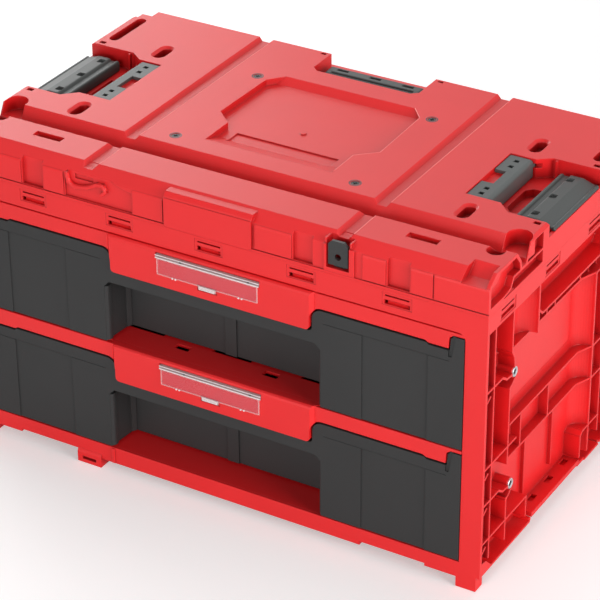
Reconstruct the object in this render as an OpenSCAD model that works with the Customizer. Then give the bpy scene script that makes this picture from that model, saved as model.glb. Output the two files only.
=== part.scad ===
// Portable tool box with two drawers: a moulded housing under a stacking cover, two trays on
// telescopic slides, label bands over the drawers, sprung stacking latches and a padlock tab.
// X runs across the front, the drawers open towards -Y, Z is up, and the origin is on the floor.

/* [Overall] */
// Width over the side walls
case_w = 585; // [570:1:600]
// Depth from the label covers to the rear wall
case_d = 385; // [375:1:400]
// Height from the floor to the stacking face
case_h = 340; // [340:1:350]
// Height of the joint between housing and cover
split_z = 301; // [300:1:302]

/* [Drawers] */
// Height from one drawer to the next
drawer_pitch = 124; // [124:1:125]
// Height of the lower drawer's bottom edge
drawer_z = 30.5; // [30:0.5:31]
// Wall thickness of the drawer trays
tray_wall = 2.5; // [2:0.5:3]
// How far the wings stand out of the hand recess
recess_depth = 38; // [30:1:42]

/* [Housing] */
// Half width of the drawer opening
open_x = 270.5; // [270:0.5:271]
// Wall thickness of the housing and the cover
wall = 3; // [2.5:0.5:3.5]
// Thickness of the outer ribs
rib = 2.2; // [2:0.2:3]
// How far the middle ribs are set back from the side faces
rib_setback = 7.5; // [6:0.5:9]

/* [Cover] */
// Depth of the two shallow grooves in the top
groove_depth = 4.5; // [2:0.5:5]
// Depth of the central recess
recess_drop = 6.5; // [4:0.5:7]
// Height of the hand grips' upper faces
grip_z = 333; // [331:1:334]

/* [Hidden] */
$fn = 48;
eps = 0.01;

red = [0.86, 0.07, 0.07];
charcoal = [0.10, 0.10, 0.10];
grip_grey = [0.20, 0.21, 0.21];
steel = [0.72, 0.73, 0.75];
black_steel = [0.06, 0.06, 0.06];
clear = [0.95, 0.80, 0.80];

// Limits of the case
side_x = case_w / 2;
label_y = -case_d / 2;
rear_y = case_d / 2;
front_y = label_y + 5.5;
sleeve_x = open_x + wall + 0.5;
frame_back = front_y + wall;
rear_inner_y = rear_y - wall - 2;

// Heights of the housing
open_z = 278;
floor_z = 28.5;
rail_z = 10;
band_z = 282;
corner_r = 8;
panel_skin = 1.2;
bay_r = side_x - sleeve_x;

// Drawers: heights above the drawer's own bottom edge
wing_h = 104.5;
tab_h = 118;
tab_x = 255;
lip_h = 80.5;
lip_low_h = 68;
tray_h = 100;
wing_x = 121;
notch_x = 112;
tray_x = 256.5;
tray_rear_y = rear_y - 14.5;
wing_face_y = front_y - 1;
recess_y = front_y - 1 + recess_depth;

// Slides
rail_h = 58.5;
rail_length = 350;
rail_front_y = -176;
screw_y = 126;
screw_head_d = 10.5;

// Label bands, as the height above the drawer's bottom edge
band_low_h = 82.5;
band_side_h = 106.5;
shelf_h = 122.5;
band_face_y = label_y + 1.5;
band_side_y = front_y + 4;
flap_h = 116;
flap_axis_y = label_y + 2.8;

// Snap clips along the joint
snap_xs = [-200.5, -100.3, 0, 100.3, 200.5];
snap_ys = [-146.5, -54.5, 38.5, 131];

// Places on the cover
plateau_y = -103;
channel_y = [-121.5, -113];
channel_z = 321;
fascia_y = front_y + 1.2;
strip_rear_y = -131.5;
strip_front_y = -172.5;
plateau_rear_y = 151.5;
cover_screw_x = 100;
cover_screw_ys = [-85.4, 68.5];
post_top = case_h - 7;
spring_ys = [-35, 25];
groove_x = [130.5, 147.8];
oval_x = 215.4;
oval_ys = [-82.1, 69.5];
long_slot_z = 324;
latch_x = [200, 224];
latch_y = [-51, 40.5];
well_x = 199.2;
grip_x = [252, 292];
grip_y = [-53.5, 43];
bar_z = grip_z - 3.2;
floor_top_z = 320;
kerb_z = 325;
web_x = side_x - 9;
lock_x = 139;
lock_w = 20.5;
lock_z = [311, 336];

// ---------------------------------------------------------------- helpers

// A block between the two ends of each axis
module block(x, y, z) {
    translate([x[0], y[0], z[0]]) cube([x[1] - x[0], y[1] - y[0], z[1] - z[0]]);
}

// A (y, z) outline drawn along X
module along_x(x) {
    translate([x[0], 0, 0]) rotate([90, 0, 90]) linear_extrude(x[1] - x[0]) children();
}

// An (x, z) outline drawn along Y
module along_y(y) {
    translate([0, y[1], 0]) rotate([90, 0, 0]) linear_extrude(y[1] - y[0]) children();
}

// The right-hand children and their mirror image on the left
module both_sides() {
    children();
    mirror([1, 0, 0]) children();
}

// The front children and their mirror image at the rear of the side walls
module both_ends() {
    children();
    translate([0, front_y + rear_y, 0]) mirror([0, 1, 0]) children();
}

// Points of an arc in a plane
function arc(centre, r, from, to, n = 6) =
    [for (i = [0 : n]) let (a = from + (to - from) * i / n) centre + r * [cos(a), sin(a)]];

// A slot with round ends along Y
module slot_y(x, y, length, width, z) {
    reach = (length - width) / 2;
    for (s = [-1, 1]) translate([x, y + s * reach, z[0]]) cylinder(h = z[1] - z[0], d = width);
    block([x - width / 2, x + width / 2], [y - reach, y + reach], z);
}

// A straight rib in a (y, z) plane between two points
module rib_line(x, a, b, t = rib) {
    span = b - a;
    along_x(x) translate(a) rotate(atan2(span[1], span[0]))
        translate([-t / 2, -t / 2]) square([norm(span) + t, t]);
}

// A rib that follows a list of (y, z) points
module rib_path(x, points) {
    for (i = [0 : len(points) - 2]) rib_line(x, points[i], points[i + 1]);
}

// A coil spring along +X from the origin
module coil_spring(length, r, wire, turns) {
    sides = 6;
    steps = 8;
    rings = turns * steps;
    points = [for (i = [0 : rings], j = [0 : sides - 1])
        let (a = 360 * i / steps, b = 360 * j / sides, q = r + wire / 2 * cos(b))
        [wire / 2 + (length - wire) * i / rings + wire / 2 * sin(b), q * cos(a), q * sin(a)]];
    corners = [for (i = [0 : rings - 1], j = [0 : sides - 1])
        let (k = (j + 1) % sides) [i * sides + j, i * sides + k, (i + 1) * sides + k, (i + 1) * sides + j]];
    skin = [for (q = corners, h = [1, 2]) [q[0], q[h], q[h + 1]]];
    ends = [for (j = [1 : sides - 2], far = [0, 1])
        far == 1 ? rings * sides * [1, 1, 1] + [0, j, j + 1] : [0, j + 1, j]];
    polyhedron(points, concat(skin, ends), convexity = 10);
}

// ---------------------------------------------------------------- housing

module opening_outline() {
    polygon(concat(
        [[-open_x, floor_z], [open_x, floor_z]],
        arc([open_x - corner_r, open_z - corner_r], corner_r, 0, 90),
        arc([corner_r - open_x, open_z - corner_r], corner_r, 90, 180)));
}

module housing_sleeve() {
    both_sides() block([open_x, sleeve_x], [frame_back, rear_inner_y], [floor_z - wall, split_z - 4]);
    block([-sleeve_x, sleeve_x], [frame_back, rear_inner_y], [floor_z - wall, floor_z]);
    // stiffening ribs under the floor
    for (x = [-163.5, 0, 163.5])
        block([x - rib / 2, x + rib / 2], [frame_back + 12, rear_inner_y], [floor_z - wall - 5, floor_z - wall]);
}

module front_plate() {
    along_y([front_y, frame_back]) difference() {
        polygon([
            [-side_x, 16], [-side_x, split_z], [side_x, split_z], [side_x, 16], [side_x - 4, 16],
            [side_x - 4, 0], [267.5, 0], [267.5, 11], [234, 11], [234, 14], [163.5, 14],
            [163.5, rail_z], [-163.5, rail_z], [-163.5, 14], [-234, 14], [-234, 11], [-267.5, 11],
            [-267.5, 0], [4 - side_x, 0], [4 - side_x, 16]]);
        opening_outline();
    }
    // flange over the opening, and the lip under the bottom rail
    block([-open_x + 1, open_x - 1], [frame_back, front_y + 12], [open_z, open_z + wall]);
    block([-163.5, 163.5], [frame_back, front_y + 7], [rail_z, rail_z + rib]);
    // narrow upright left of the middle
    block([-122, -118], [front_y - 1, front_y], [rail_z + 0.5, floor_z - 1]);
}

// The hooked block under the front edge that the box below is locked by
module front_catch() {
    catch_x = [-163.5, -135];
    difference() {
        along_x(catch_x) polygon([
            [front_y - 2, 0], [front_y - 2, 11], [front_y - 1, 14], [front_y + 4, 19], [front_y + 12, 19],
            [front_y + 12, 0]]);
        block([catch_x[0] + 6, catch_x[1] - 6], [front_y - 3, front_y + 2], [4, 7.5]);
        block([catch_x[0] + 3, catch_x[1] - 3], [frame_back + 1, front_y + 13], [-1, 16]);
    }
}

module rear_wall() {
    block([-side_x, side_x], [rear_inner_y, rear_y - 2], [rail_z, split_z]);
    for (x = [-side_x + 1.1, -200, -100, 0, 100, 200, side_x - 1.1])
        block([x - rib / 2, x + rib / 2], [rear_y - 3, rear_y], [rail_z, split_z]);
    for (z = [rail_z + 1.1, 90, 213, split_z - 1.1])
        block([-side_x, side_x], [rear_y - 3, rear_y], [z - rib / 2, z + rib / 2]);
}

// Belt along the top of a side wall that the cover sits on, and the skin below it
module side_belt() {
    belt_y = [frame_back, rear_inner_y];
    block([side_x - wall, side_x], belt_y, [band_z, split_z]);
    block([sleeve_x, side_x], belt_y, [band_z, band_z + rib]);
    // skin that carries the ribs, against the sleeve
    block([sleeve_x, sleeve_x + panel_skin], belt_y, [floor_z - wall, band_z + rib]);
    both_ends() block([sleeve_x, side_x], [frame_back, frame_back + panel_skin], [28, band_z]);
}

// One screw boss with the ribs that run into it, for the slide at height z
module boss_ribs(x, z) {
    boss = [-screw_y, z];
    rib_path(x, [[frame_back + rib, z + 7], [-152, z + 7], [-143, z + 1], [-131, z]]);
    rib_path(x, [[-136, z - 13], [-129, z - 9], [-126, z - 6]]);
    translate([x[0], boss[0], boss[1]]) rotate([0, 90, 0]) cylinder(h = x[1] - x[0] - 1.5, d = 12);
}

module side_lattice() {
    edge = frame_back + rib;
    outer = [sleeve_x, side_x];
    inner = [sleeve_x, side_x - rib_setback];
    rib_end_z = 31;
    both_ends() {
        // columns next to the stile
        rib_line(outer, [-169.5, rib_end_z], [-169.5, band_z]);
        rib_path(outer, [[-133.5, band_z], [-133.5, 238], [-129, 231], [-127, 219]]);
        rib_line(outer, [-136, 118], [-136, 199.5]);
        rib_line(outer, [-135.5, rib_end_z], [-135.5, 78]);
        // the two slide bosses and their ribs
        for (z = [0, 1]) boss_ribs(outer, drawer_z + rail_h + z * drawer_pitch);
        rib_line(outer, [edge, 136.5], [-119, 136.5]);
        rib_path(outer, [[edge, 53], [-90.5, 53], [-90.5, rib_end_z]]);
        // short stubs that stiffen the stile
        for (z = [213, 129, 90, 46]) rib_line(outer, [edge, z - 3], [edge + 5, z]);
    }
    // ledges across the middle, set back and swept out to the side face towards the rear
    for (z = [231, 148, 111])
        translate([0, 0, z - rib / 2]) linear_extrude(rib) polygon([
            [outer[0], -134], [inner[1], -118], [inner[1], 30], [side_x, 50], [side_x, 140],
            [outer[0], 140]]);
    for (y = [-94, -34, 71, 110]) rib_line(inner, [y, 111], [y, 148]);
    for (y = [-69, -8]) rib_line([outer[0], outer[0] + 5], [y, 39], [y, 111]);
    // posts and a slanted rib behind the curved walls
    rib_line(outer, [72, 38], [72, 231]);
    rib_line(outer, [110, rib_end_z], [110, 231]);
    rib_path(outer, [[31.5, rib_end_z - 3], [31.5, 52], [37, 56], [72, 56]]);
    // concave walls that close the middle bays and run out to the side face
    bay_wall(31, [25, 231]);
    bay_wall(-98.3, [231, band_z]);
    // plain raised panel in the upper bay
    along_x([outer[0], outer[0] + panel_skin + 2]) polygon([
        [-117, 226], [-117, 176], [-108, 164], [24, 164], [24, 228], [-105, 228]]);
    // lip of the carrying pocket
    rib_path(outer, [[-79.5, band_z], [-79.5, 255], [-72, 248], [72, 248], [79.5, 255],
        [79.5, band_z]]);
    for (y = [-64, -46, -28, 28, 46, 64]) rib_line(inner, [y, 231], [y, 247]);
}

// Concave wall whose arc starts on the skin at y and ends at the side face
module bay_wall(y, z) {
    hinge = [side_x, y];
    translate([0, 0, z[0]]) linear_extrude(z[1] - z[0]) polygon(concat(
        arc(hinge, bay_r - panel_skin, 180, 90, 10), arc(hinge, bay_r + 1.6, 90, 157, 8)));
}

// Bottom edge of the side wall: corner blocks, low plates with rounded ends and a raised slotted plate
module side_sill() {
    back_wall = [sleeve_x - wall, sleeve_x + panel_skin];
    both_ends() {
        along_x([sleeve_x, side_x]) polygon([
            [frame_back, 16], [frame_back, 31], [-174, 29.3], [-160, 16]]);
        translate([0, 0, 16]) linear_extrude(rib) polygon([
            [sleeve_x - wall, -166], [side_x, -166], [side_x, -79], [side_x - 3, -75],
            [sleeve_x - wall, -75]]);
        block(back_wall, [-166, -74], [16, floor_z - wall]);
    }
    difference() {
        block([sleeve_x - wall, side_x], [-76, 31], [20, 25]);
        block([sleeve_x + 2, side_x - 2], [-72, 27], [19, 22.5]);
        for (y = [-52.5, -15.5, 20]) block([278, 284], [y - 6, y + 6], [19, 26]);
    }
    block(back_wall, [-76, 77], [20, floor_z - wall]);
    block([sleeve_x - wall, side_x], [45, 78], [16, 16 + rib]);
    block(back_wall, [45, 78], [16, 21]);
}

// A hollow foot at one end of the right-hand side
module foot() {
    difference() {
        union() {
            block([267.5, side_x - 4], [front_y, front_y + 14], [0, 16]);
            block([267.5, sleeve_x - wall], [front_y, front_y + 14], [0, floor_z - wall]);
        }
        block([270, side_x - 6.5], [front_y + wall, front_y + 11.5], [-eps, 13.5]);
    }
}

// Slots that the cover's snap tongues hook into
module snap_slots() {
    for (x = snap_xs) {
        block([x - 15.5, x + 15.5], [front_y - 1, front_y + 0.5], [285, 298.2]);
        block([x - 13, x + 13], [front_y - 1, frame_back + 1], [286, 290.5]);
        block([x - 12.5, x + 12.5], [front_y - 1, frame_back + 1], [294.2, 295.8]);
    }
}

module side_snap_slots() {
    for (y = snap_ys) {
        block([side_x - 0.5, side_x + 1], [y - 15.5, y + 15.5], [285, 298.2]);
        block([side_x - wall - 1, side_x + 1], [y - 13, y + 13], [286.5, 290.5]);
        block([side_x - wall - 1, side_x + 1], [y - 12.5, y + 12.5], [294.2, 295.8]);
    }
}

module shelf_ledges() {
    for (k = [0, 1]) both_sides() {
        z = drawer_z + shelf_h - wall + k * drawer_pitch;
        block([open_x - 5, open_x + eps], [-172, rear_y - 6], [z - 3, z]);
    }
}

module slide_screw_places() {
    for (k = [0, 1]) both_ends() both_sides()
        translate([0, -screw_y, drawer_z + rail_h + k * drawer_pitch]) rotate([0, 90, 0]) children();
}

module housing() {
    color(red) difference() {
        union() {
            housing_sleeve();
            shelf_ledges();
        }
        slide_screw_places() cylinder(h = 300, d = 5.4);
    }
}

module rear_panel() {
    color(red) difference() {
        union() {
            rear_wall();
            translate([0, front_y + rear_y, 0]) mirror([0, 1, 0]) both_sides() foot();
        }
        both_sides() {
            block([side_x - 4, side_x + 1], [rear_inner_y - 1, rear_y + 1], [-1, 16]);
            block([163.5, 267.5], [rear_inner_y - 1, rear_y + 1], [-1, 14]);
        }
    }
}

module front_frame() {
    color(red) difference() {
        union() {
            front_plate();
            both_sides() foot();
            front_catch();
        }
        snap_slots();
    }
}

// Ribbed outer panel of the right-hand side
module side_panel() {
    color(red) difference() {
        union() {
            side_belt();
            side_lattice();
            side_sill();
        }
        // the rear panel closes the end
        block([0, side_x + 1], [rear_inner_y, rear_y + 1], [-1, case_h]);
        side_snap_slots();
        slide_screw_places() {
            cylinder(h = 300, d = 5.4);
            translate([0, 0, side_x - 1.5]) cylinder(h = 3, d = screw_head_d + 1);
        }
    }
}

module right_side_panel() {
    side_panel();
}

module left_side_panel() {
    mirror([1, 0, 0]) side_panel();
}

// ---------------------------------------------------------------- cover

// Side view of the cover, t inside its skin
module cover_outline(t) {
    slant = 0.6 * t;
    base = split_z - (t > 0 ? 1 : 0);
    polygon([
        [fascia_y + t, base], [fascia_y + t, 331 - t / 2], [strip_front_y + t / 2, case_h - t],
        [strip_rear_y - slant, case_h - t], [channel_y[0] - 1.5 - t, 329 - t / 2],
        [channel_y[0] - t, channel_z - t], [channel_y[1] + slant, channel_z - t],
        [plateau_y + slant, case_h - t], [plateau_rear_y - t, case_h - t], [plateau_rear_y - t, 312 - t],
        [rear_y - t, 306 - t], [rear_y - t, base]]);
}

// Outline of the latch well in the top face, right-hand side
module well_outline(d = 0) {
    polygon([
        [well_x - d, -52.5 - d], [236 - d, -52.5 - d], [250 - d, -66 - d], [side_x + 1, -66 - d],
        [side_x + 1, 52.5 + d], [240 - d, 52.5 + d], [226 - d, 42 + d], [well_x - d, 42 + d]]);
}

// Plate and walls of the latch well, and the red bar that carries the hand grip
module well_shell() {
    translate([0, 0, floor_top_z - wall]) linear_extrude(case_h - floor_top_z + wall - 1)
        well_outline(wall);
    translate([0, 0, floor_top_z - 10.5]) linear_extrude(10.5) finger_outline(2.5);
}

// Six-sided outline of the deeper finger well between the latch and the grip
module finger_outline(d) {
    polygon([
        [229 - d, -24 - d / 2], [235, -31 - d], [248 + d, -31 - d], [248 + d, 21 + d], [235, 21 + d],
        [229 - d, 14 + d / 2]]);
}

module well_hollow() {
    difference() {
        translate([0, 0, floor_top_z]) linear_extrude(case_h - floor_top_z + 1) well_outline();
        // bar under the hand grip, and the kerb along the side
        along_y(grip_y + [3, -3]) polygon([
            [grip_x[0] + 3, floor_top_z - 1], [grip_x[0] + 3, bar_z], [276, bar_z],
            [grip_x[1] - 2.8, 326.4], [grip_x[1] - 2.8, floor_top_z - 1]]);
        block([grip_x[1] - 3, side_x + 2], [-70, 56], [floor_top_z - 1, kerb_z]);
        // posts that the return springs stand against, and a rib on the rear wall
        for (y = spring_ys) block([217.5, 220], [y - 5, y + 5], [floor_top_z - 1, 331]);
        block([243, 245], [49, 54], [floor_top_z - 1, case_h]);
    }
    translate([0, 0, floor_top_z - 8]) linear_extrude(9) finger_outline(0);
}

module rear_pocket(d = 0) {
    polygon([
        [-61 - d, rear_y + 1], [-61 - d, 115 - d], [-54 - d, 109 - d], [54 + d, 109 - d],
        [61 + d, 115 - d], [61 + d, rear_y + 1]]);
}

// Raised blocks across the front, [first x, last x], with the deep channels between them
front_blocks = [
    [-side_x, -213.5], [-187, -163.5], [-84, -50.5], [50.5, 90], [164.5, 188.5], [214, 236.5],
    [238, side_x]];
front_channels = [[-212, -188.5], [91.5, 112], [190, 212.5]];
hook_bay = [-162, -86];

module front_relief() {
    // raised blocks with bevelled tops
    for (b = front_blocks) along_x(b) polygon([
        [fascia_y + 1, split_z + 4], [front_y, split_z + 4], [front_y, 328], [front_y + 0.7, 330],
        [fascia_y + 1, 330.6]]);
    // inner walls of the deep channels and of the bay behind the hook
    for (c = front_channels)
        block([c[0] - 2.5, c[1] + 2.5], [fascia_y + 1, front_y + 7], [split_z, 331]);
    block([hook_bay[0] - 2.5, hook_bay[1] + 2.5], [fascia_y + 1, front_y + 6], [split_z, 331]);
    // raised frame around the padlock tab
    block([lock_x - 14.5, lock_x + 17.5], [front_y - 0.6, fascia_y + 1], [split_z + 3, 331.5]);
    // flange along the lower edge
    block([-side_x, side_x], [front_y, fascia_y + 1], [split_z, split_z + 2.6]);
}

module front_relief_cuts() {
    for (c = front_channels) along_y([front_y - 1, front_y + 4.5]) polygon([
        [c[0], split_z + 3.5], [c[0], 334], [c[1], 334], [c[1], split_z + 3.5]]);
    along_y([front_y - 1, front_y + 3]) polygon([
        [hook_bay[0], split_z + 3.5], [hook_bay[0], 328], [hook_bay[0] + 4, 334], [-116, 334],
        [-92, 327], [hook_bay[1], 326], [hook_bay[1], split_z + 3.5]]);
    // small window above the hook
    block([-151, -130], [front_y + 1, front_y + 4.5], [325, 330]);
}

// Proud plain plate in the middle of the front
module badge_plate() {
    along_y([front_y - 2, front_y + 3]) polygon([
        [-48, 305], [-45, 302.5], [45, 302.5], [48, 305], [48, 333], [-48, 333]]);
    along_x([-48, 48]) polygon([
        [fascia_y, 330], [front_y - 2, 330], [front_y - 0.5, 335], [front_y + 3, 338.4],
        [front_y + 12, 338.4]]);
}

// Centre line of the hook in the (x, z) plane
hook_path = [
    [-159.5, 329], [-158, 320.5], [-151, 316.5], [-136, 319], [-125, 325], [-118, 325.5], [-115, 320],
    [-120, 315.5]];

// Moulded hook on the left of the front that a strap's loop fits
module loop_hook() {
    along_y([front_y - 0.4, front_y + 3.5]) for (i = [0 : len(hook_path) - 2]) {
        span = hook_path[i + 1] - hook_path[i];
        translate(hook_path[i]) rotate(atan2(span[1], span[0])) translate([-1.6, -1.6])
            square([norm(span) + 3.2, 3.2]);
    }
}

module snap_tongues() {
    for (x = snap_xs) {
        block([x - 11, x + 11], [front_y + wall + 0.4, front_y + wall + 2.4], [285, split_z + 6]);
        along_x([x - 10, x + 10]) polygon([
            [front_y + wall + 0.5, 289.8], [front_y + 1.2, 289.8], [front_y + wall + 0.5, 286.6]]);
    }
    for (x = snap_xs)
        block([x - 11, x + 11], [fascia_y + 1, front_y + wall + 2.4], [split_z + 2, split_z + 6]);
    for (y = snap_ys) both_sides() {
        block([side_x - wall - 2.4, side_x - wall - 0.4], [y - 11, y + 11], [286.2, split_z + 6]);
        block([side_x - wall - 2.4, side_x - 1], [y - 11, y + 11], [split_z + 2, split_z + 6]);
    }
}

// Outline of the central recess, grown by d, with y measured from its front edge
module recess_outline(d = 0) {
    polygon([
        [-70.5 - d, -d], [-70.5 - d, 42 - d / 2], [-90 - d, 60 - d / 2], [-88 - d, 144],
        [-74 - d, 160.5 + d], [74 + d, 160.5 + d], [88 + d, 144], [90 + d, 60 - d / 2],
        [70.5 + d, 42 - d / 2], [70.5 + d, -d]]);
}

// The recess's outline, grown by d, as an upright block at its place
module recess_outline_cut(d) {
    translate([0, -78.5, case_h - recess_drop - 10]) linear_extrude(recess_drop + 30) recess_outline(d);
}

// Body of the central recess: a flat floor t lower, a sloped rear wall and a ramp at the front
module recess_body(d, t) {
    low = case_h - recess_drop - t;
    intersection() {
        recess_outline_cut(d);
        along_x([-100, 100]) polygon([
            [-78.5 - d, case_h + 0.01 - t], [-56.5, low], [73.5, low], [82 + d, case_h + 0.01 - t],
            [82 + d, case_h + 10], [-78.5 - d, case_h + 10]]);
    }
}

// Plain strip sunk into the recess's floor, running out over the ramp
module recess_strip() {
    low = case_h - recess_drop - 1.4;
    along_x([-57, 57]) polygon([
        [-40.5, low], [-56.5, low], [-66, low + 4.4], [-66, case_h + 2], [-40.5, case_h + 2]]);
}

// Dished pockets at the ends of the channel and the strip; t is the wall left around them
module dishes(t) {
    translate([279, -100, 325 - t]) cylinder(h = case_h - 325 + (t > 0 ? t - 1 : 1), r = 12 + t);
    block([267 - t, 291 + t], [-116, -100], [325 - t, case_h + (t > 0 ? -1 : 1)]);
    translate([273, -135.5, 331 - t]) cylinder(h = case_h - 331 + (t > 0 ? t - 1 : 1), r = 9 + t);
}

// Pocket cut into the front edge at each end; t is the wall left around it
module corner_pocket(t) {
    along_x([264 - t, 289 + t]) polygon([
        [front_y - 1, 329.3 - t], [-170.5 + t / 2, 329.5 - t], [-158.5 + t, 340.2 - t / 2], [-158.5, 345],
        [front_y - 1, 345]]);
}

// A slot along Y with round ends, sunk to z and widened by a bevel at the top face
module dished_slot(x, y, length, width, z) {
    bevel = 2.6;
    reach = (length - width) / 2;
    slot_y(x, y, length, width, [z, case_h + 1]);
    for (s = [-1, 1]) translate([x, y + s * reach, case_h - bevel])
        cylinder(h = bevel + eps, d1 = width, d2 = width + 2 * bevel);
    along_y([y - reach, y + reach]) polygon([
        [x - width / 2, case_h - bevel], [x + width / 2, case_h - bevel],
        [x + width / 2 + bevel, case_h + eps], [x - width / 2 - bevel, case_h + eps]]);
}

// Closed cup around a slot that is sunk to z
module slot_cup(x, y, length, width, z) {
    slot_y(x, y, length + 7, width + 7, [z - 2, case_h - 1]);
}

module top_openings() {
    both_sides() {
        along_y([-200, plateau_rear_y + 1]) polygon([
            [groove_x[0], case_h + eps], [groove_x[0] + 4, case_h - groove_depth],
            [groove_x[1] - 3.5, case_h - groove_depth], [groove_x[1], case_h + eps]]);
        for (y = oval_ys) dished_slot(oval_x, y, 26, 11, case_h - 11);
        slot_y(277.5, 98, 61, 11, [long_slot_z, case_h + 1]);
        for (y = [-71.3, 58.6]) block([279, 286], [y - 2.5, y + 2.5], [case_h - 10, case_h + 1]);
        block([190, 222], [-153, -144], [case_h - 12, case_h + 1]);
        dishes(0);
        corner_pocket(0);
        // bevel along the outer edge, and the stepped rear corner
        along_y([-110, plateau_rear_y + 1]) polygon([
            [side_x - 3.5, case_h + eps], [side_x + 1, case_h - 2.5], [side_x + 1, case_h + 1]]);
        block([274, side_x + 1], [139, plateau_rear_y + 1], [312, case_h + 1]);
        block([286, side_x + 1], [130, plateau_rear_y + 1], [312, case_h + 1]);
    }
    both_sides() block([65, 71], [146, 149.5], [case_h - 10, case_h + 1]);
}

module cover_side_walls() {
    end_x = [web_x, side_x];
    both_sides() {
        difference() {
            along_x([side_x - wall, side_x]) polygon([
                [-78, split_z], [-78, case_h - 1], [plateau_rear_y - 1, case_h - 1],
                [plateau_rear_y - 1, 311], [rear_y, 305], [rear_y, split_z]]);
            translate([0, 0, kerb_z]) linear_extrude(60) well_outline();
        }
        // closed web behind the open ends of the strip and the channel, and its ribs
        along_x([web_x, web_x + rib]) intersection() {
            cover_outline(0);
            translate([fascia_y, split_z]) square([-75.5 - fascia_y, 60]);
        }
        block(end_x, [fascia_y, -156], [split_z, 308.5]);
        block(end_x, [-156, -75], [split_z, 305.5]);
        block(end_x, [-78, -75.5], [split_z, case_h - 1]);
        rib_path(end_x, [
            [channel_y[0] - 2, 319.2], [-137, 319.2], [-142.5, 310], [-150, 308.3], [-156, 307.4]]);
        rib_line(end_x, [channel_y[1], 319.2], [-77, 319.2]);
    }
}

module cover_shell() {
    difference() {
        along_x([-side_x, side_x]) cover_outline(0);
        along_x([-side_x - 1, side_x + 1]) cover_outline(wall);
        both_sides() translate([0, 0, floor_top_z]) linear_extrude(60) well_outline();
        translate([0, 0, 318]) linear_extrude(60) rear_pocket();
    }
}

module rear_pocket_shell() {
    difference() {
        translate([0, 0, 315]) linear_extrude(case_h - 315 - 1) intersection() {
            rear_pocket(wall);
            translate([-100, 100]) square([200, plateau_rear_y - 100 - 1]);
        }
        translate([0, 0, 318]) linear_extrude(60) rear_pocket();
    }
    // bar under the rear grip
    block([-54, 54], [119, 137], [316, grip_z - 3.2]);
}

// Sleeve that guides the padlock tab behind the front face
module lock_guide() {
    block([lock_x - 14, lock_x + 14], [fascia_y, front_y + 15], [split_z, 337]);
}

module lock_guide_cuts() {
    block([lock_x - 12, lock_x + 12], [front_y - 1, front_y + 11], [308, case_h + 1]);
    block([lock_x - 6.3, lock_x + 6.3], [front_y + 3.7, front_y + 9.3], [split_z - 1, 309]);
}

module top_cover() {
    color(red) loop_hook();
    // small round button in the middle of the recess
    color(red) translate([0, -10.5, case_h - recess_drop - 0.5]) cylinder(h = 1.8, d = 6);
    color(red) difference() {
        union() {
            cover_shell();
            front_relief();
            badge_plate();
            cover_side_walls();
            both_sides() intersection() {
                difference() {
                    well_shell();
                    well_hollow();
                }
                block([0, side_x], [-100, 100], [0, case_h]);
            }
            rear_pocket_shell();
            lock_guide();
            snap_tongues();
            intersection() {
                recess_body(wall, wall);
                block([-100, 100], [-90, 100], [split_z, case_h - 1]);
            }
            // skin under the grooves, the pockets and the slots
            intersection() {
                both_sides() {
                    dishes(2);
                    corner_pocket(2);
                    for (y = oval_ys) slot_cup(oval_x, y, 26, 11, case_h - 11);
                    slot_cup(277.5, 98, 61, 11, long_slot_z);
                    block([271, side_x], [127, plateau_rear_y], [309, case_h - 1]);
                    block([groove_x[0] + 1, groove_x[1] - 1], [-165, plateau_rear_y - 1],
                        [case_h - groove_depth - 2.4, case_h - 2]);
                }
                along_x([-side_x, side_x]) cover_outline(0);
            }
            for (y = cover_screw_ys) both_sides()
                translate([cover_screw_x, y, post_top]) cylinder(h = case_h - post_top - 1, d = 14);
        }
        front_relief_cuts();
        lock_guide_cuts();
        top_openings();
        recess_body(0, 0);
        recess_strip();
        for (y = cover_screw_ys) both_sides() translate([cover_screw_x, y, 300]) {
            cylinder(h = 60, d = 4.4);
            translate([0, 0, case_h - 300 - 2.6]) cylinder(h = 5, d = 9);
        }
        // windows that the latch plates' end tongues slide in
        both_sides() block([latch_x[0] - 0.4, 234], [latch_y[0] - 5.5, latch_y[1] + 5.5], [330.6, 335.2]);
    }
}

// ---------------------------------------------------------------- label shelves

// Shelf over a drawer whose bottom edge is at height z
module label_shelf(z) {
    top = z + shelf_h;
    difference() {
        block([-open_x, open_x], [band_side_y + wall, rear_y - 5], [top - wall, top]);
        // slots, and cut-outs in line with the recess's rear wall
        for (x = [-150.9, -50.3, 50.3, 150.9]) block([x - 8, x + 8], [-164, -156], [top - 5, top + 1]);
        for (x = [-100.3, 0, 100.3]) block([x - 22, x + 22], [recess_y - 1, recess_y + 9], [top - 5, top + 1]);
    }
}

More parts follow.
